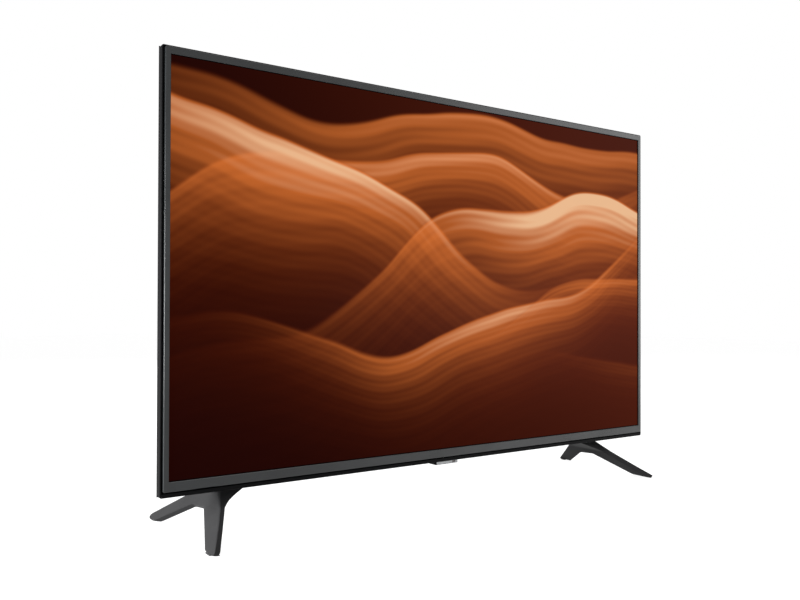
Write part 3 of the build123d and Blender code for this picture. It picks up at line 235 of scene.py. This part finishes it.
# The picture on the screen: layered warm swells of light on a dark ground.
# Place across and up runs from -1 to 1 over the picture.
swellNames = ("height", "tilt", "swell", "waves", "start", "ripple", "depth", "middle", "reach", "strength")
screen = dict(
    halfWide=472.4 * mm,
    low=85.0 * mm,
    high=620.9 * mm,
    border=(0.0008, 0.0008, 0.0009),
    rough=0.28,
    specular=0.005,
    # the values of swellNames for each swell, and last the warmth of its crest
    swells=(
        (0.90, -0.10, 0.10, 2.1, 0.4, 0.05, 0.55, 0.40, 1.45, 0.85, 0.30),
        (0.58, 0.20, 0.20, 2.4, 2.4, 0.07, 0.42, -0.05, 1.15, 1.00, 0.55),
        (0.34, -0.30, 0.24, 2.2, 3.7, 0.08, 0.50, -0.60, 0.85, 1.25, 0.95),
        (0.14, 0.42, 0.20, 2.8, 0.8, 0.06, 0.42, 0.72, 0.90, 1.60, 1.00),
        (-0.12, 0.26, 0.22, 2.3, 4.7, 0.07, 0.34, 0.25, 0.75, 1.10, 0.80),
        (-0.34, 0.30, 0.15, 3.2, 5.7, 0.05, 0.24, 0.80, 0.60, 0.75, 0.60),
        (-0.60, 0.18, 0.12, 2.7, 1.6, 0.04, 0.22, 1.00, 0.50, 0.28, 0.25),
    ),
    ground=((0.0105, 0.0007, 0.0003), (0.060, 0.0075, 0.002)),
    glow=(0.22, 0.026, 0.004),
    body=(0.74, 0.18, 0.034),
    crest=(0.84, 0.50, 0.28),
    groundSlant=0.35,               # the dark ground brightens to the right, and this much upwards
    groundSpan=(-1.0, 1.1),
    warmFrom=(0.05, 0.45),          # light where the glow begins to take the body's colour, and has it all
    crestFrom=(0.5, 1.0),
    cover=0.96,                     # the most that a swell covers of what is behind it
    bend=(3.1, 0.34),               # scale and strength of the slow bend of all swells
    ripplePace=2.7,                 # ripples to one wave
    fade=1.6,                       # how fast the light fades below a crest
    softEdge=(-0.010, 0.030),
    threads=(23.0, 1.9, 0.09),      # silk threads: how many in the glow's depth, their slant and strength
    fineThreads=(61.0, -2.6, 0.05),
    silkLevel=0.86,
    filmScale=900.0,
    film=(0.8, 1.3),                # the film's tone goes between these shares of the border's colour
    relief=(0.04, 0.05),            # strength and depth
)


# One swell. Its crest is its height, plus tilt times across, plus a sine wave, plus a quicker ripple.
# Its light falls off exponentially with the depth below the crest, times a bell curve round its middle,
# times the silk: two sine waves along the depth.
def swellGroup():
    group = bpy.data.node_groups.new("warmSwell", "ShaderNodeTree")
    for name in ("across", "up", *swellNames):
        group.interface.new_socket(name, in_out="INPUT", socket_type="NodeSocketFloat")
    group.interface.new_socket("light", in_out="OUTPUT", socket_type="NodeSocketFloat")
    given = group.nodes.new("NodeGroupInput").outputs
    across, up = given["across"], given["up"]
    turn = calc(group, "MULTIPLY_ADD", across, given["waves"], given["start"])
    line = calc(group, "MULTIPLY_ADD", calc(group, "SINE", turn), given["swell"], given["height"])
    line = calc(group, "MULTIPLY_ADD", across, given["tilt"], line)
    quick = calc(group, "SINE", calc(group, "MULTIPLY", turn, screen["ripplePace"]))
    line = calc(group, "MULTIPLY_ADD", quick, given["ripple"], line)
    below = calc(group, "SUBTRACT", line, up)
    deep = calc(group, "DIVIDE", calc(group, "MAXIMUM", below, 0.0), given["depth"])
    fade = calc(group, "EXPONENT", calc(group, "MULTIPLY", deep, -screen["fade"]))
    edge = remap(group, below, *screen["softEdge"], smooth=True)
    silk = screen["silkLevel"]
    for many, slant, strength in (screen["fineThreads"], screen["threads"]):
        shift = calc(group, "MULTIPLY", turn, slant)
        wave = calc(group, "SINE", calc(group, "MULTIPLY_ADD", deep, many, shift))
        silk = calc(group, "MULTIPLY_ADD", wave, strength, silk)
    away = calc(group, "DIVIDE", calc(group, "SUBTRACT", across, given["middle"]), given["reach"])
    window = calc(group, "EXPONENT", calc(group, "MULTIPLY", calc(group, "MULTIPLY", away, away), -1.0))
    light = calc(group, "MULTIPLY", calc(group, "MULTIPLY", fade, edge),
                 calc(group, "MULTIPLY", silk, window))
    light = calc(group, "MULTIPLY", light, given["strength"])
    group.links.new(light, group.nodes.new("NodeGroupOutput").inputs["light"])
    return group


def screenMaterial():
    material, tree, shader = newMaterial("screen_glass", Roughness=screen["rough"],
                                         Specular_IOR_Level=screen["specular"])
    place = objectPlace(tree)
    parts = add(tree, "SeparateXYZ", [place]).outputs
    middle, half = (screen["low"] + screen["high"]) / 2, (screen["high"] - screen["low"]) / 2
    across = calc(tree, "DIVIDE", parts[0], screen["halfWide"])
    up = calc(tree, "DIVIDE", calc(tree, "SUBTRACT", parts[2], middle), half)
    drift = calc(tree, "SUBTRACT", noise(tree, place, screen["bend"][0], 1.5), 0.5)
    upBent = calc(tree, "MULTIPLY_ADD", drift, screen["bend"][1], up)
    side = remap(tree, calc(tree, "ADD", across, calc(tree, "MULTIPLY", up, screen["groundSlant"])),
                 *screen["groundSpan"], smooth=True)
    colour = mixColour(tree, side, opaque(screen["ground"][0]), opaque(screen["ground"][1]))
    group = swellGroup()
    for *values, warmth in screen["swells"]:
        given = {"across": across, "up": upBent, **dict(zip(swellNames, values))}
        light = add(tree, "Group", given, node_tree=group).outputs["light"]
        warm = mixColour(tree, remap(tree, light, *screen["warmFrom"]),
                         opaque(screen["glow"]), opaque(screen["body"]))
        warm = mixColour(tree, remap(tree, light, *screen["crestFrom"], 0.0, warmth),
                         warm, opaque(screen["crest"]))
        colour = mixColour(tree, calc(tree, "MINIMUM", light, screen["cover"]), colour, warm)
    insideX = calc(tree, "LESS_THAN", calc(tree, "ABSOLUTE", across), 1.0)
    insideZ = calc(tree, "LESS_THAN", calc(tree, "ABSOLUTE", up), 1.0)
    front = calc(tree, "LESS_THAN", looksBack(tree), -0.5)
    lit = calc(tree, "MULTIPLY", calc(tree, "MULTIPLY", insideX, insideZ), front)
    feed(tree, shader.inputs["Emission Color"], mixColour(tree, lit, (0, 0, 0, 1), colour))
    shader.inputs["Emission Strength"].default_value = 1.0
    film = noise(tree, place, screen["filmScale"], 2.0)
    low, high = (opaque(scaled(screen["border"], share)) for share in screen["film"])
    feed(tree, shader.inputs["Base Color"], mixColour(tree, film, low, high))
    addRelief(tree, shader, *screen["relief"], film)
    return material


materials["screen_glass"] = screenMaterial()
print("picture made:", len(screen["swells"]), "swells")


# Boards: dark green lacquer over traces, with pads of solder
board = dict(
    colour=(0.006, 0.060, 0.024),
    trace=(0.020, 0.125, 0.052),
    pad=(0.55, 0.56, 0.55),
    pitch=2.4,
    traceShare=0.10,            # width of a trace in its pitch
    padPitch=7.68,
    padSize=0.13,               # a pad's radius in its pitch
    padMetal=0.9,
    rough=(0.22, 0.4),
    roughScale=300.0,
    relief=(0.25, 0.1),         # strength and depth
)


def boardMaterial():
    material, tree, shader = newMaterial("board_green", Specular_IOR_Level=0.5)
    place = objectPlace(tree)
    turned = mapped(tree, place, Rotation=(math.pi / 2, 0, 0))
    square = add(tree, "TexBrick", {"Vector": turned, "Scale": 1 / (board["pitch"] * mm),
                                    "Mortar Size": board["traceShare"], "Color1": (0, 0, 0, 1),
                                    "Color2": (0.2, 0.2, 0.2, 1), "Mortar": (1, 1, 1, 1)})
    traces = add(tree, "SeparateColor", [square.outputs[0]]).outputs[0]
    spots = add(tree, "TexVoronoi", {"Vector": place, "Scale": 1 / (board["padPitch"] * mm)})
    pads = calc(tree, "LESS_THAN", spots.outputs["Distance"], board["padSize"])
    colour = mixColour(tree, traces, opaque(board["colour"]), opaque(board["trace"]))
    feed(tree, shader.inputs["Base Color"], mixColour(tree, pads, colour, opaque(board["pad"])))
    feed(tree, shader.inputs["Metallic"], calc(tree, "MULTIPLY", pads, board["padMetal"]))
    gloss = remap(tree, noise(tree, place, board["roughScale"]), *texturing["spread"], *board["rough"])
    feed(tree, shader.inputs["Roughness"], gloss)
    addRelief(tree, shader, *board["relief"], traces)
    return material


materials["board_green"] = boardMaterial()


# Each CAD node takes the finish that its record's slot names
for part in frame["record"]["subparts"]:
    mesh = nodes[part["node"]].data
    mesh.materials.clear()
    mesh.materials.append(materials[part["material_slot"]])


# Surfaces computed as grids

def newObject(name, data):
    made = bpy.data.objects.new(name, data)
    bpy.context.scene.collection.objects.link(made)
    return made


def makePiece(name, places, faces, material, body="set"):  # places is an array; the piece rides on a body
    mesh = bpy.data.meshes.new(name)
    mesh.from_pydata(places.tolist(), [], faces)
    mesh.polygons.foreach_set("use_smooth", np.ones(len(mesh.polygons), bool))
    mesh.materials.append(material)
    piece = newObject(name, mesh)
    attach(piece, body)
    return piece


def gridFaces(rows, columns, turned=False):  # quads of a tube of rows, each row a closed loop of columns
    row, column = np.meshgrid(np.arange(rows - 1), np.arange(columns), indexing="ij")
    near, far = row * columns, (row + 1) * columns
    following = (column + 1) % columns
    quads = np.stack([near + column, near + following, far + following, far + column], axis=-1).reshape(-1, 4)
    return quads[:, ::-1] if turned else quads


def closedTube(loops, turned=False):  # places and faces of a tube whose two ends are closed by one face each
    rows, columns = loops.shape[:2]
    faces = gridFaces(rows, columns, turned).tolist()
    first, last = list(range(columns)), list(range((rows - 1) * columns, rows * columns))
    faces += [first, last[::-1]] if turned else [first[::-1], last]
    return loops.reshape(-1, 3), faces


def joined(parts):  # several (places, faces) pairs as one
    places, faces, shift = [], [], 0
    for somePlaces, someFaces in parts:
        places.append(somePlaces)
        faces += [[corner + shift for corner in face] for face in someFaces]
        shift += len(somePlaces)
    return np.vstack(places), faces


# The feet, as smooth forms over the CAD feet: a side outline cut square through a leaning, bent plate.
# Sizes in millimetres, depths from the bezel's front face
foot = dict(
    front=-53.0,                # tip of the front toe
    reach=199.6,                # front toe to rear toe
    low=0.45,                   # height of the underside
    rise=63.3,                  # from there to the cabinet
    outerTop=386.0,             # the outer side at the top, and how far out it is at the knee and floor
    kneeOut=16.0,
    lean=54.8,
    splay=(-1.8, 0.0, 4.4),     # how far the front leg, the middle and the rear leg stand out of that line
    splayDepths=(-20.0, 61.0, 130.0),
    toe=12.8,                   # thickness at the bottom and at the knee
    knee=12.4,
    kneeShare=0.62,             # the knee's height
    flareGrow=47.6,             # how much the inner side flares above the knee, of which this share steadily
    flareSteady=0.55,
    flare=41.6,                 # the inner side stays within this of outerTop
    toeRound=3.0,               # rounding of the bottom edges, and how far it takes in the sides
    toePull=0.9,
    squareCut=6.0,              # the inner side's edges are this much lower
    cutOver=0.10,               # share of the reach over which that begins beyond the flat top
    leastSection=0.3,           # least height of a section at the floor
    leastHeight=0.02,           # least height at the tips of the toes
    corner=0.12,                # share of a section's width and height taken by its rounded corners
    stations=260,
    crowding=0.45,              # how much the stations crowd towards the toes
    around=96,
    blur=4.0,                   # rounding of the side outline's corners
    sharpEnds=0.03,             # share of the reach at each toe that isn't rounded so
    # shares of the reach and of the rise along the lower and upper edge
    lowEdge=((0.0, 0.055), (0.006, 0.024), (0.020, 0.0), (0.088, 0.0), (0.120, 0.020), (0.4863, 0.560),
             (0.633, 0.523), (0.915, 0.010), (0.935, 0.0), (0.978, 0.0), (0.993, 0.030), (1.0, 0.078)),
    highEdge=((0.0, 0.055), (0.006, 0.085), (0.4636, 1.0), (0.5983, 1.0), (0.990, 0.125), (1.0, 0.078)),
    topFlat=(0.4636, 0.5983),
    screws=((367.9, 44.5), (367.9, 59.5)),
    screwWell=4.1,              # radius of a screw's well in the underside, and the height of its end
    wellTop=57.9,
    underside=0.02,             # share of a section's height that counts as its underside
)


def blurred(values, width):  # moving average with cosine weights, the values carried on past their ends
    reach = int(width)
    weight = np.cos(np.linspace(-math.pi / 2, math.pi / 2, 2 * reach + 3))[1:-1]
    padded = np.concatenate([2 * values[0] - values[reach:0:-1], values,
                             2 * values[-1] - values[-2:-reach - 2:-1]])
    return np.convolve(padded, weight / weight.sum(), "valid")


def roundedLoop(count, corner):  # a unit square with rounded corners: half the points on sides, half on arcs
    each = count // 4
    along = np.linspace(0, 1, each, endpoint=False)
    arc = np.clip((along - 0.5) / 0.5, 0, 1) * math.pi / 2
    straight = np.clip(along / 0.5, 0, 1)
    x = corner + (1 - 2 * corner) * straight + corner * np.sin(arc)
    y = corner - corner * np.cos(arc)
    loop, side = [], np.stack([x, y], axis=1)
    for turn in range(4):
        loop.append(side.copy())
        side = np.stack([1 - side[:, 1], side[:, 0]], axis=1)
    return np.vstack(loop)


# Heights of the lower and upper edge at each station, their corners blurred except at the toes
def footOutlines():
    even = np.linspace(0, 1, foot["stations"])
    share = foot["crowding"] * (0.5 - 0.5 * np.cos(math.pi * even)) + (1 - foot["crowding"]) * even
    steps = 2000
    fine = np.linspace(0, 1, steps + 1)
    ends = np.clip(np.minimum(fine, 1 - fine) / foot["sharpEnds"], 0, 1)
    edges = []
    for edge in (foot["lowEdge"], foot["highEdge"]):
        sharp = np.interp(fine, *np.array(edge).T)
        soft = ends * blurred(sharp, foot["blur"] / foot["reach"] * steps) + (1 - ends) * sharp
        edges.append(foot["low"] + foot["rise"] * np.interp(share, fine, soft))
    low, high = edges
    return share, low, np.maximum(high, low + foot["leastHeight"])


# Each station is a rounded square between the two edges. Its outer side follows the bent, splayed plate at
# each height, and its inner side lies inward of that by the thickness, which flares above the knee.
def footForm(side):
    share, low, high = footOutlines()
    depth = foot["front"] + foot["reach"] * share
    loop = roundedLoop(foot["around"], foot["corner"])
    inward, upward = 1 - loop[None, :, 0], loop[None, :, 1]
    fromFlat = np.maximum(foot["topFlat"][0] - share, share - foot["topFlat"][1])
    free = np.clip(fromFlat / foot["cutOver"], 0, 1)[:, None]      # 0 where the cabinet sits on the foot
    z = low[:, None] + (high - low)[:, None] * upward
    z = np.maximum(z - foot["squareCut"] * inward * (1 - upward * (1 - free)),
                   foot["low"] + foot["leastSection"] * upward)
    up = (z - foot["low"]) / foot["rise"]
    outer = np.interp(up, (0, foot["kneeShare"], 1), (foot["lean"], foot["kneeOut"], 0)) + foot["outerTop"]
    outer = outer + np.interp(depth, foot["splayDepths"], foot["splay"])[:, None]
    below = np.clip(up / foot["kneeShare"], 0, 1)
    thick = foot["toe"] + (foot["knee"] - foot["toe"]) * below
    above = np.clip((up - foot["kneeShare"]) / (1 - foot["kneeShare"]), 0, 1)
    thick = thick + foot["flareGrow"] * (foot["flareSteady"] * above + (1 - foot["flareSteady"]) * above ** 2)
    thick = np.minimum(thick, outer - foot["outerTop"] + foot["flare"])
    pull = np.clip(foot["toeRound"] - (z - foot["low"]), 0, foot["toeRound"])
    pull = foot["toeRound"] - np.sqrt(foot["toeRound"] ** 2 - pull ** 2)
    x = outer - foot["toePull"] * pull - (thick - 2 * foot["toePull"] * pull) * inward
    y = np.broadcast_to(depth[:, None], x.shape)
    for screwX, screwY in foot["screws"]:
        inside = np.hypot(x - screwX, y - screwY) < foot["screwWell"]
        z = np.where(inside & (upward < foot["underside"]), foot["wellTop"], z)
    return np.stack([side * x * mm, y * mm + frontFace, z * mm], axis=-1)


def makeFeet():
    for name, node, side in (("smoothFootRight", "foot_right", 1), ("smoothFootLeft", "foot_left", -1)):
        places, faces = closedTube(footForm(side), turned=side > 0)
        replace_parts(makePiece(name, places, faces, materials["foot_plastic"]), node)


makeFeet()
print("feet made")


def wrappedTube(loops, turned=False):  # a tube whose last loop joins its first, as a sleeve has
    rows, columns = loops.shape[:2]
    faces = gridFaces(rows + 1, columns, turned) % (rows * columns)
    return loops.reshape(-1, 3), faces.tolist()


def blocks(centres, sizes):  # small boxes, one for each centre and size
    centres, sizes = np.atleast_2d(centres), np.atleast_2d(sizes)
    sizes = np.broadcast_to(sizes, centres.shape)
    signs = np.array([(x, y, z) for x in (-1, 1) for y in (-1, 1) for z in (-1, 1)]) / 2
    places = (centres[:, None, :] + signs[None] * sizes[:, None, :]).reshape(-1, 3)
    sides = np.array([(0, 1, 3, 2), (4, 6, 7, 5), (0, 4, 5, 1), (2, 3, 7, 6), (0, 2, 6, 4), (1, 5, 7, 3)])
    faces = (np.arange(len(centres))[:, None, None] * 8 + sides[None]).reshape(-1, 4)
    return places, faces.tolist()


# Screws of the rear cover, each with a cross in its head
coverScrews = dict(
    sideX=450.25, sideZ=(226.75, 352.8, 478.85),
    topX=(-229.0, 0.0, 229.0), topZ=594.9,
    pillarX=336.0, pillarZ=115.5,
    flatSeat=25.10, pillarSeat=26.20,       # depth of the head's underside
    head=3.0, headTall=1.2, headRound=0.35, faceInset=0.05, shank=1.42, long=2.7, tip=0.3, tipShare=0.7,
    crossHalf=0.42, crossReach=1.9, crossDeep=0.75,
    crossEnd=0.6, crossWall=0.12,           # the cross's sloped ends and sides
    turn=0.6,                   # how far each screw is turned
    rings=26, around=64, centre=0.01,
)


# A profile of radius and height turned about the axis, from the shank's tip over the head's rounded rim to
# its middle. The cross is sunk where a point's smaller distance to its two middle lines is under crossHalf.
def screwForm(x, seat, z):
    s = coverScrews
    rim = np.linspace(0, math.pi / 2, 6)
    inner, under = s["head"] - s["headRound"], s["headTall"] - s["headRound"]
    face = np.linspace(inner - s["faceInset"], s["centre"], s["rings"])
    radius = np.concatenate([[s["centre"], s["shank"] * s["tipShare"], s["shank"], s["shank"],
                              s["head"], s["head"]],
                             inner + s["headRound"] * np.cos(rim), face])
    height = np.concatenate([[-s["long"], -s["long"], s["tip"] - s["long"], 0, 0, under],
                             under + s["headRound"] * np.sin(rim), np.full(s["rings"], s["headTall"])])
    angle = np.linspace(0, 2 * math.pi, s["around"], endpoint=False)
    across, up = radius[:, None] * np.cos(angle + s["turn"]), radius[:, None] * np.sin(angle + s["turn"])
    tall = np.broadcast_to(height[:, None], across.shape).copy()
    top = np.arange(len(radius)) >= len(radius) - s["rings"]
    armX, armZ = np.abs(radius[:, None] * np.cos(angle)), np.abs(radius[:, None] * np.sin(angle))
    slope = np.clip((s["crossReach"] - np.maximum(armX, armZ)) / s["crossEnd"], 0, 1)
    wall = np.clip((s["crossHalf"] - np.minimum(armX, armZ)) / s["crossWall"], 0, 1)
    tall -= np.where(top[:, None], s["crossDeep"] * slope * wall, 0)
    return np.stack([x + across, seat + tall, z + up], axis=-1) * mm + (0, frontFace, 0)


def makeCoverScrews():
    s = coverScrews
    places = [(side * s["sideX"], s["flatSeat"], z) for side in (-1, 1) for z in s["sideZ"]]
    places += [(x, s["flatSeat"], s["topZ"]) for x in s["topX"]]
    places += [(side * s["pillarX"], s["pillarSeat"], s["pillarZ"]) for side in (-1, 1)]
    shape = joined([closedTube(screwForm(*place), turned=True) for place in places])
    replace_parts(makePiece("crossScrews", *shape, materials["screw_steel"]), "rear_cover_screws")


makeCoverScrews()


# Threads: sleeves with a helical ridge, in the wall-mount posts and round the aerial socket.
# ridge is its height, inward where it is below zero, and plain the radius of the sleeve's other side.
threads = dict(
    post=dict(radius=2.99, plain=2.996, ridge=-0.42, pitch=1.0, long=19.0, around=40, perTurn=8),
    aerial=dict(radius=4.72, plain=4.67, ridge=0.36, pitch=0.8, long=4.2, around=48, perTurn=8),
)
posts = dict(x=(-100, 100), z=(201.5, 401.5), mouth=79.55)
aerialEnd = 0.2                 # from the end of the aerial socket to its thread


# The radius rises and falls in a triangle once in each pitch, later by one pitch for a full turn about the
# axis. The axis is the third place, from zero.
def threadForm(radius, plain, ridge, pitch, long, around, perTurn):
    along = np.linspace(0, long, int(long / pitch * perTurn) + 1)
    angle = np.linspace(0, 2 * math.pi, around, endpoint=False)
    turn = (along[:, None] / pitch + angle / (2 * math.pi)) % 1.0
    fade = np.clip(np.minimum(along, long - along) / pitch, 0, 1)[:, None]
    face = radius + ridge * fade * (1 - np.abs(2 * turn - 1))
    size = np.concatenate([face, np.full_like(face, plain)])
    height = np.broadcast_to(np.concatenate([along, along[::-1]])[:, None], size.shape)
    return np.stack([size * np.cos(angle), size * np.sin(angle), height], axis=-1) * mm


def makeThreads():
    post, aerial = threadForm(**threads["post"]), threadForm(**threads["aerial"])
    sleeves = []
    mouth = frontFace + posts["mouth"] * mm
    for x in posts["x"]:
        for z in posts["z"]:
            place = np.stack([x * mm + post[..., 0], mouth - post[..., 2], z * mm + post[..., 1]], axis=-1)
            sleeves.append(wrappedTube(place, turned=True))
    makePiece("postThreads", *joined(sleeves), materials["post_steel"])
    low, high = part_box("aerial_socket")
    y, z = (low.y + high.y) / 2, (low.z + high.z) / 2
    end = high.x - aerialEnd * mm
    place = np.stack([end - aerial[..., 2], y + aerial[..., 0], z + aerial[..., 1]], axis=-1)
    makePiece("aerialThread", *wrappedTube(place), materials["pin_metal"])


makeThreads()


# Gold contacts on the tongues of the ports and in the network socket
contacts = dict(
    hdmiRows=(149.5, 169.0, 188.5), hdmiDepth=34.40, hdmiPitch=1.0, hdmiCount=10,
    hdmiWide=0.42, hdmiShift=0.25,
    usbRows=(208.0, 227.5), usbDepth=34.90, usbPlaces=(-3.5, -1.0, 1.0, 3.5), usbWide=1.1,
    left=288.0, right=300.8, tongueHalf=0.5, film=0.06,
    lanZ=247.0, lanDepth=34.60, lanPitch=1.02, lanCount=8, lanWide=0.45, lanThick=0.25,
    lanLeft=286.2, lanRight=296.0,
)


def makeContacts():
    c = contacts
    middle, long = (c["left"] + c["right"]) / 2, c["right"] - c["left"]
    centres, sizes = [], []
    for row in c["hdmiRows"]:
        for index in range(c["hdmiCount"]):
            for side in (-1, 1):
                shift = (index - (c["hdmiCount"] - 1) / 2 + side * c["hdmiShift"]) * c["hdmiPitch"]
                depth = c["hdmiDepth"] + side * (c["tongueHalf"] + c["film"] / 2)
                centres.append((middle, depth, row + shift))
                sizes.append((long, c["film"], c["hdmiWide"]))
    for row in c["usbRows"]:
        for shift in c["usbPlaces"]:
            centres.append((middle, c["usbDepth"] + c["tongueHalf"] + c["film"] / 2, row + shift))
            sizes.append((long, c["film"], c["usbWide"]))
    for index in range(c["lanCount"]):
        shift = (index - (c["lanCount"] - 1) / 2) * c["lanPitch"]
        centres.append(((c["lanLeft"] + c["lanRight"]) / 2, c["lanDepth"], c["lanZ"] + shift))
        sizes.append((c["lanRight"] - c["lanLeft"], c["lanThick"], c["lanWide"]))
    places, faces = blocks(np.array(centres) * mm, np.array(sizes) * mm)
    makePiece("portContacts", places + (0, frontFace, 0), faces, materials["pin_metal"])


makeContacts()
print("screws, threads and contacts made")


# Stage, light and camera
studio = dict(
    floor=(0.24, 0.24, 0.24),
    floorSpeck=(0.995, 1.005),
    floorSize=14.0,
    lift=0.92,          # light that only the camera and reflections see, so that the lit floor reads white
    world=0.13,         # the surroundings' light on the object; the camera and reflections see them white
)

# Place, aim, size and power in watts of each lamp
lamps = {
    "rightBox": ((3.1, -2.1, 0.9), (0.3, 0.0, 0.30), (2.2, 1.8), 26.0),
    "frontBox": ((2.2, -2.4, 0.3), (0.1, 0.0, 0.15), (1.4, 0.6), 22.0),
    "topBox": ((0.6, -0.8, 2.6), (0.1, 0.0, 0.2), (1.6, 1.0), 10.0),
    "leftPanel": ((-1.45, -0.12, 0.30), (-0.42, 0.02, 0.08), (0.5, 0.4), 34.0),
    "backBox": ((0.8, 2.4, 1.6), (0.0, 0.0, 0.3), (2.4, 1.6), 130.0),
}


def seenRays(tree):  # 1 for what the camera sees straight, mirrored or through something clear
    path = add(tree, "LightPath").outputs
    seen = calc(tree, "MAXIMUM", path["Is Camera Ray"], path["Is Glossy Ray"])
    return calc(tree, "MAXIMUM", seen, path["Is Transmission Ray"])


def stageMaterial():
    material, tree, shader = newMaterial("paleFloor", Roughness=0.9, Specular_IOR_Level=0.1)
    speck = noise(tree, objectPlace(tree), 40.0, 2.0)
    low, high = (opaque(scaled(studio["floor"], share)) for share in studio["floorSpeck"])
    feed(tree, shader.inputs["Base Color"], mixColour(tree, speck, low, high))
    shader.inputs["Emission Color"].default_value = (1, 1, 1, 1)
    feed(tree, shader.inputs["Emission Strength"], calc(tree, "MULTIPLY", seenRays(tree), studio["lift"]))
    return material


def makeStage():
    half = studio["floorSize"] / 2
    mesh = bpy.data.meshes.new("floor")
    corners = [(-half, -half, 0), (half, -half, 0), (half, half, 0), (-half, half, 0)]
    mesh.from_pydata(corners, [], [(0, 1, 2, 3)])
    mesh.materials.append(stageMaterial())
    floor = newObject("floor", mesh)


def makeWorld():  # white where it is seen, softer where it lights the object
    world = bpy.data.worlds.new("studio")
    bpy.context.scene.world = world
    world.use_nodes = True
    tree = world.node_tree
    backdrop = tree.nodes["Background"].inputs
    feed(tree, backdrop["Strength"], remap(tree, seenRays(tree), 0.0, 1.0, studio["world"], 1.0))
    backdrop["Color"].default_value = (1, 1, 1, 1)


def softLamp(name, place, target, size, power):
    data = bpy.data.lights.new(name, "AREA")
    data.shape = "RECTANGLE"
    data.size, data.size_y = size
    data.energy = power
    lamp = newObject(name, data)
    lamp.location = place
    lamp.rotation_euler = (Vector(target) - Vector(place)).to_track_quat("-Z", "Y").to_euler()


# The photograph's camera, angles in degrees
camera = dict(
    place=(-841.2 * mm, frontFace - 889.85 * mm, 303.1 * mm),
    yaw=-30.699,
    pitch=0.563,
    roll=-0.231,
    focal=761.6,        # pixels of the 800 x 600 frame
    middle=280.0,       # the column that the lens looks along
    frameWide=800.0,
    sensor=36.0,
    near=0.01,
)


def makeCamera():
    data = bpy.data.cameras.new("camera")
    data.sensor_width = camera["sensor"]
    data.lens = camera["focal"] / camera["frameWide"] * camera["sensor"]
    data.shift_x = (camera["frameWide"] / 2 - camera["middle"]) / camera["frameWide"]
    data.clip_start = camera["near"]
    turn = Matrix.Translation(camera["place"])
    for angle, axis in ((camera["yaw"], "Z"), (camera["pitch"], "X"), (camera["roll"], "Y"), (90, "X")):
        turn = turn @ Matrix.Rotation(math.radians(angle), 4, axis)
    eye = newObject("camera", data)
    eye.matrix_world = turn
    bpy.context.scene.camera = eye


makeStage()
makeWorld()
for name, (place, target, size, power) in lamps.items():
    softLamp(name, place, target, size, power)
makeCamera()
bpy.context.scene.view_settings.view_transform = "Standard"
print("stage, lamps and camera set")
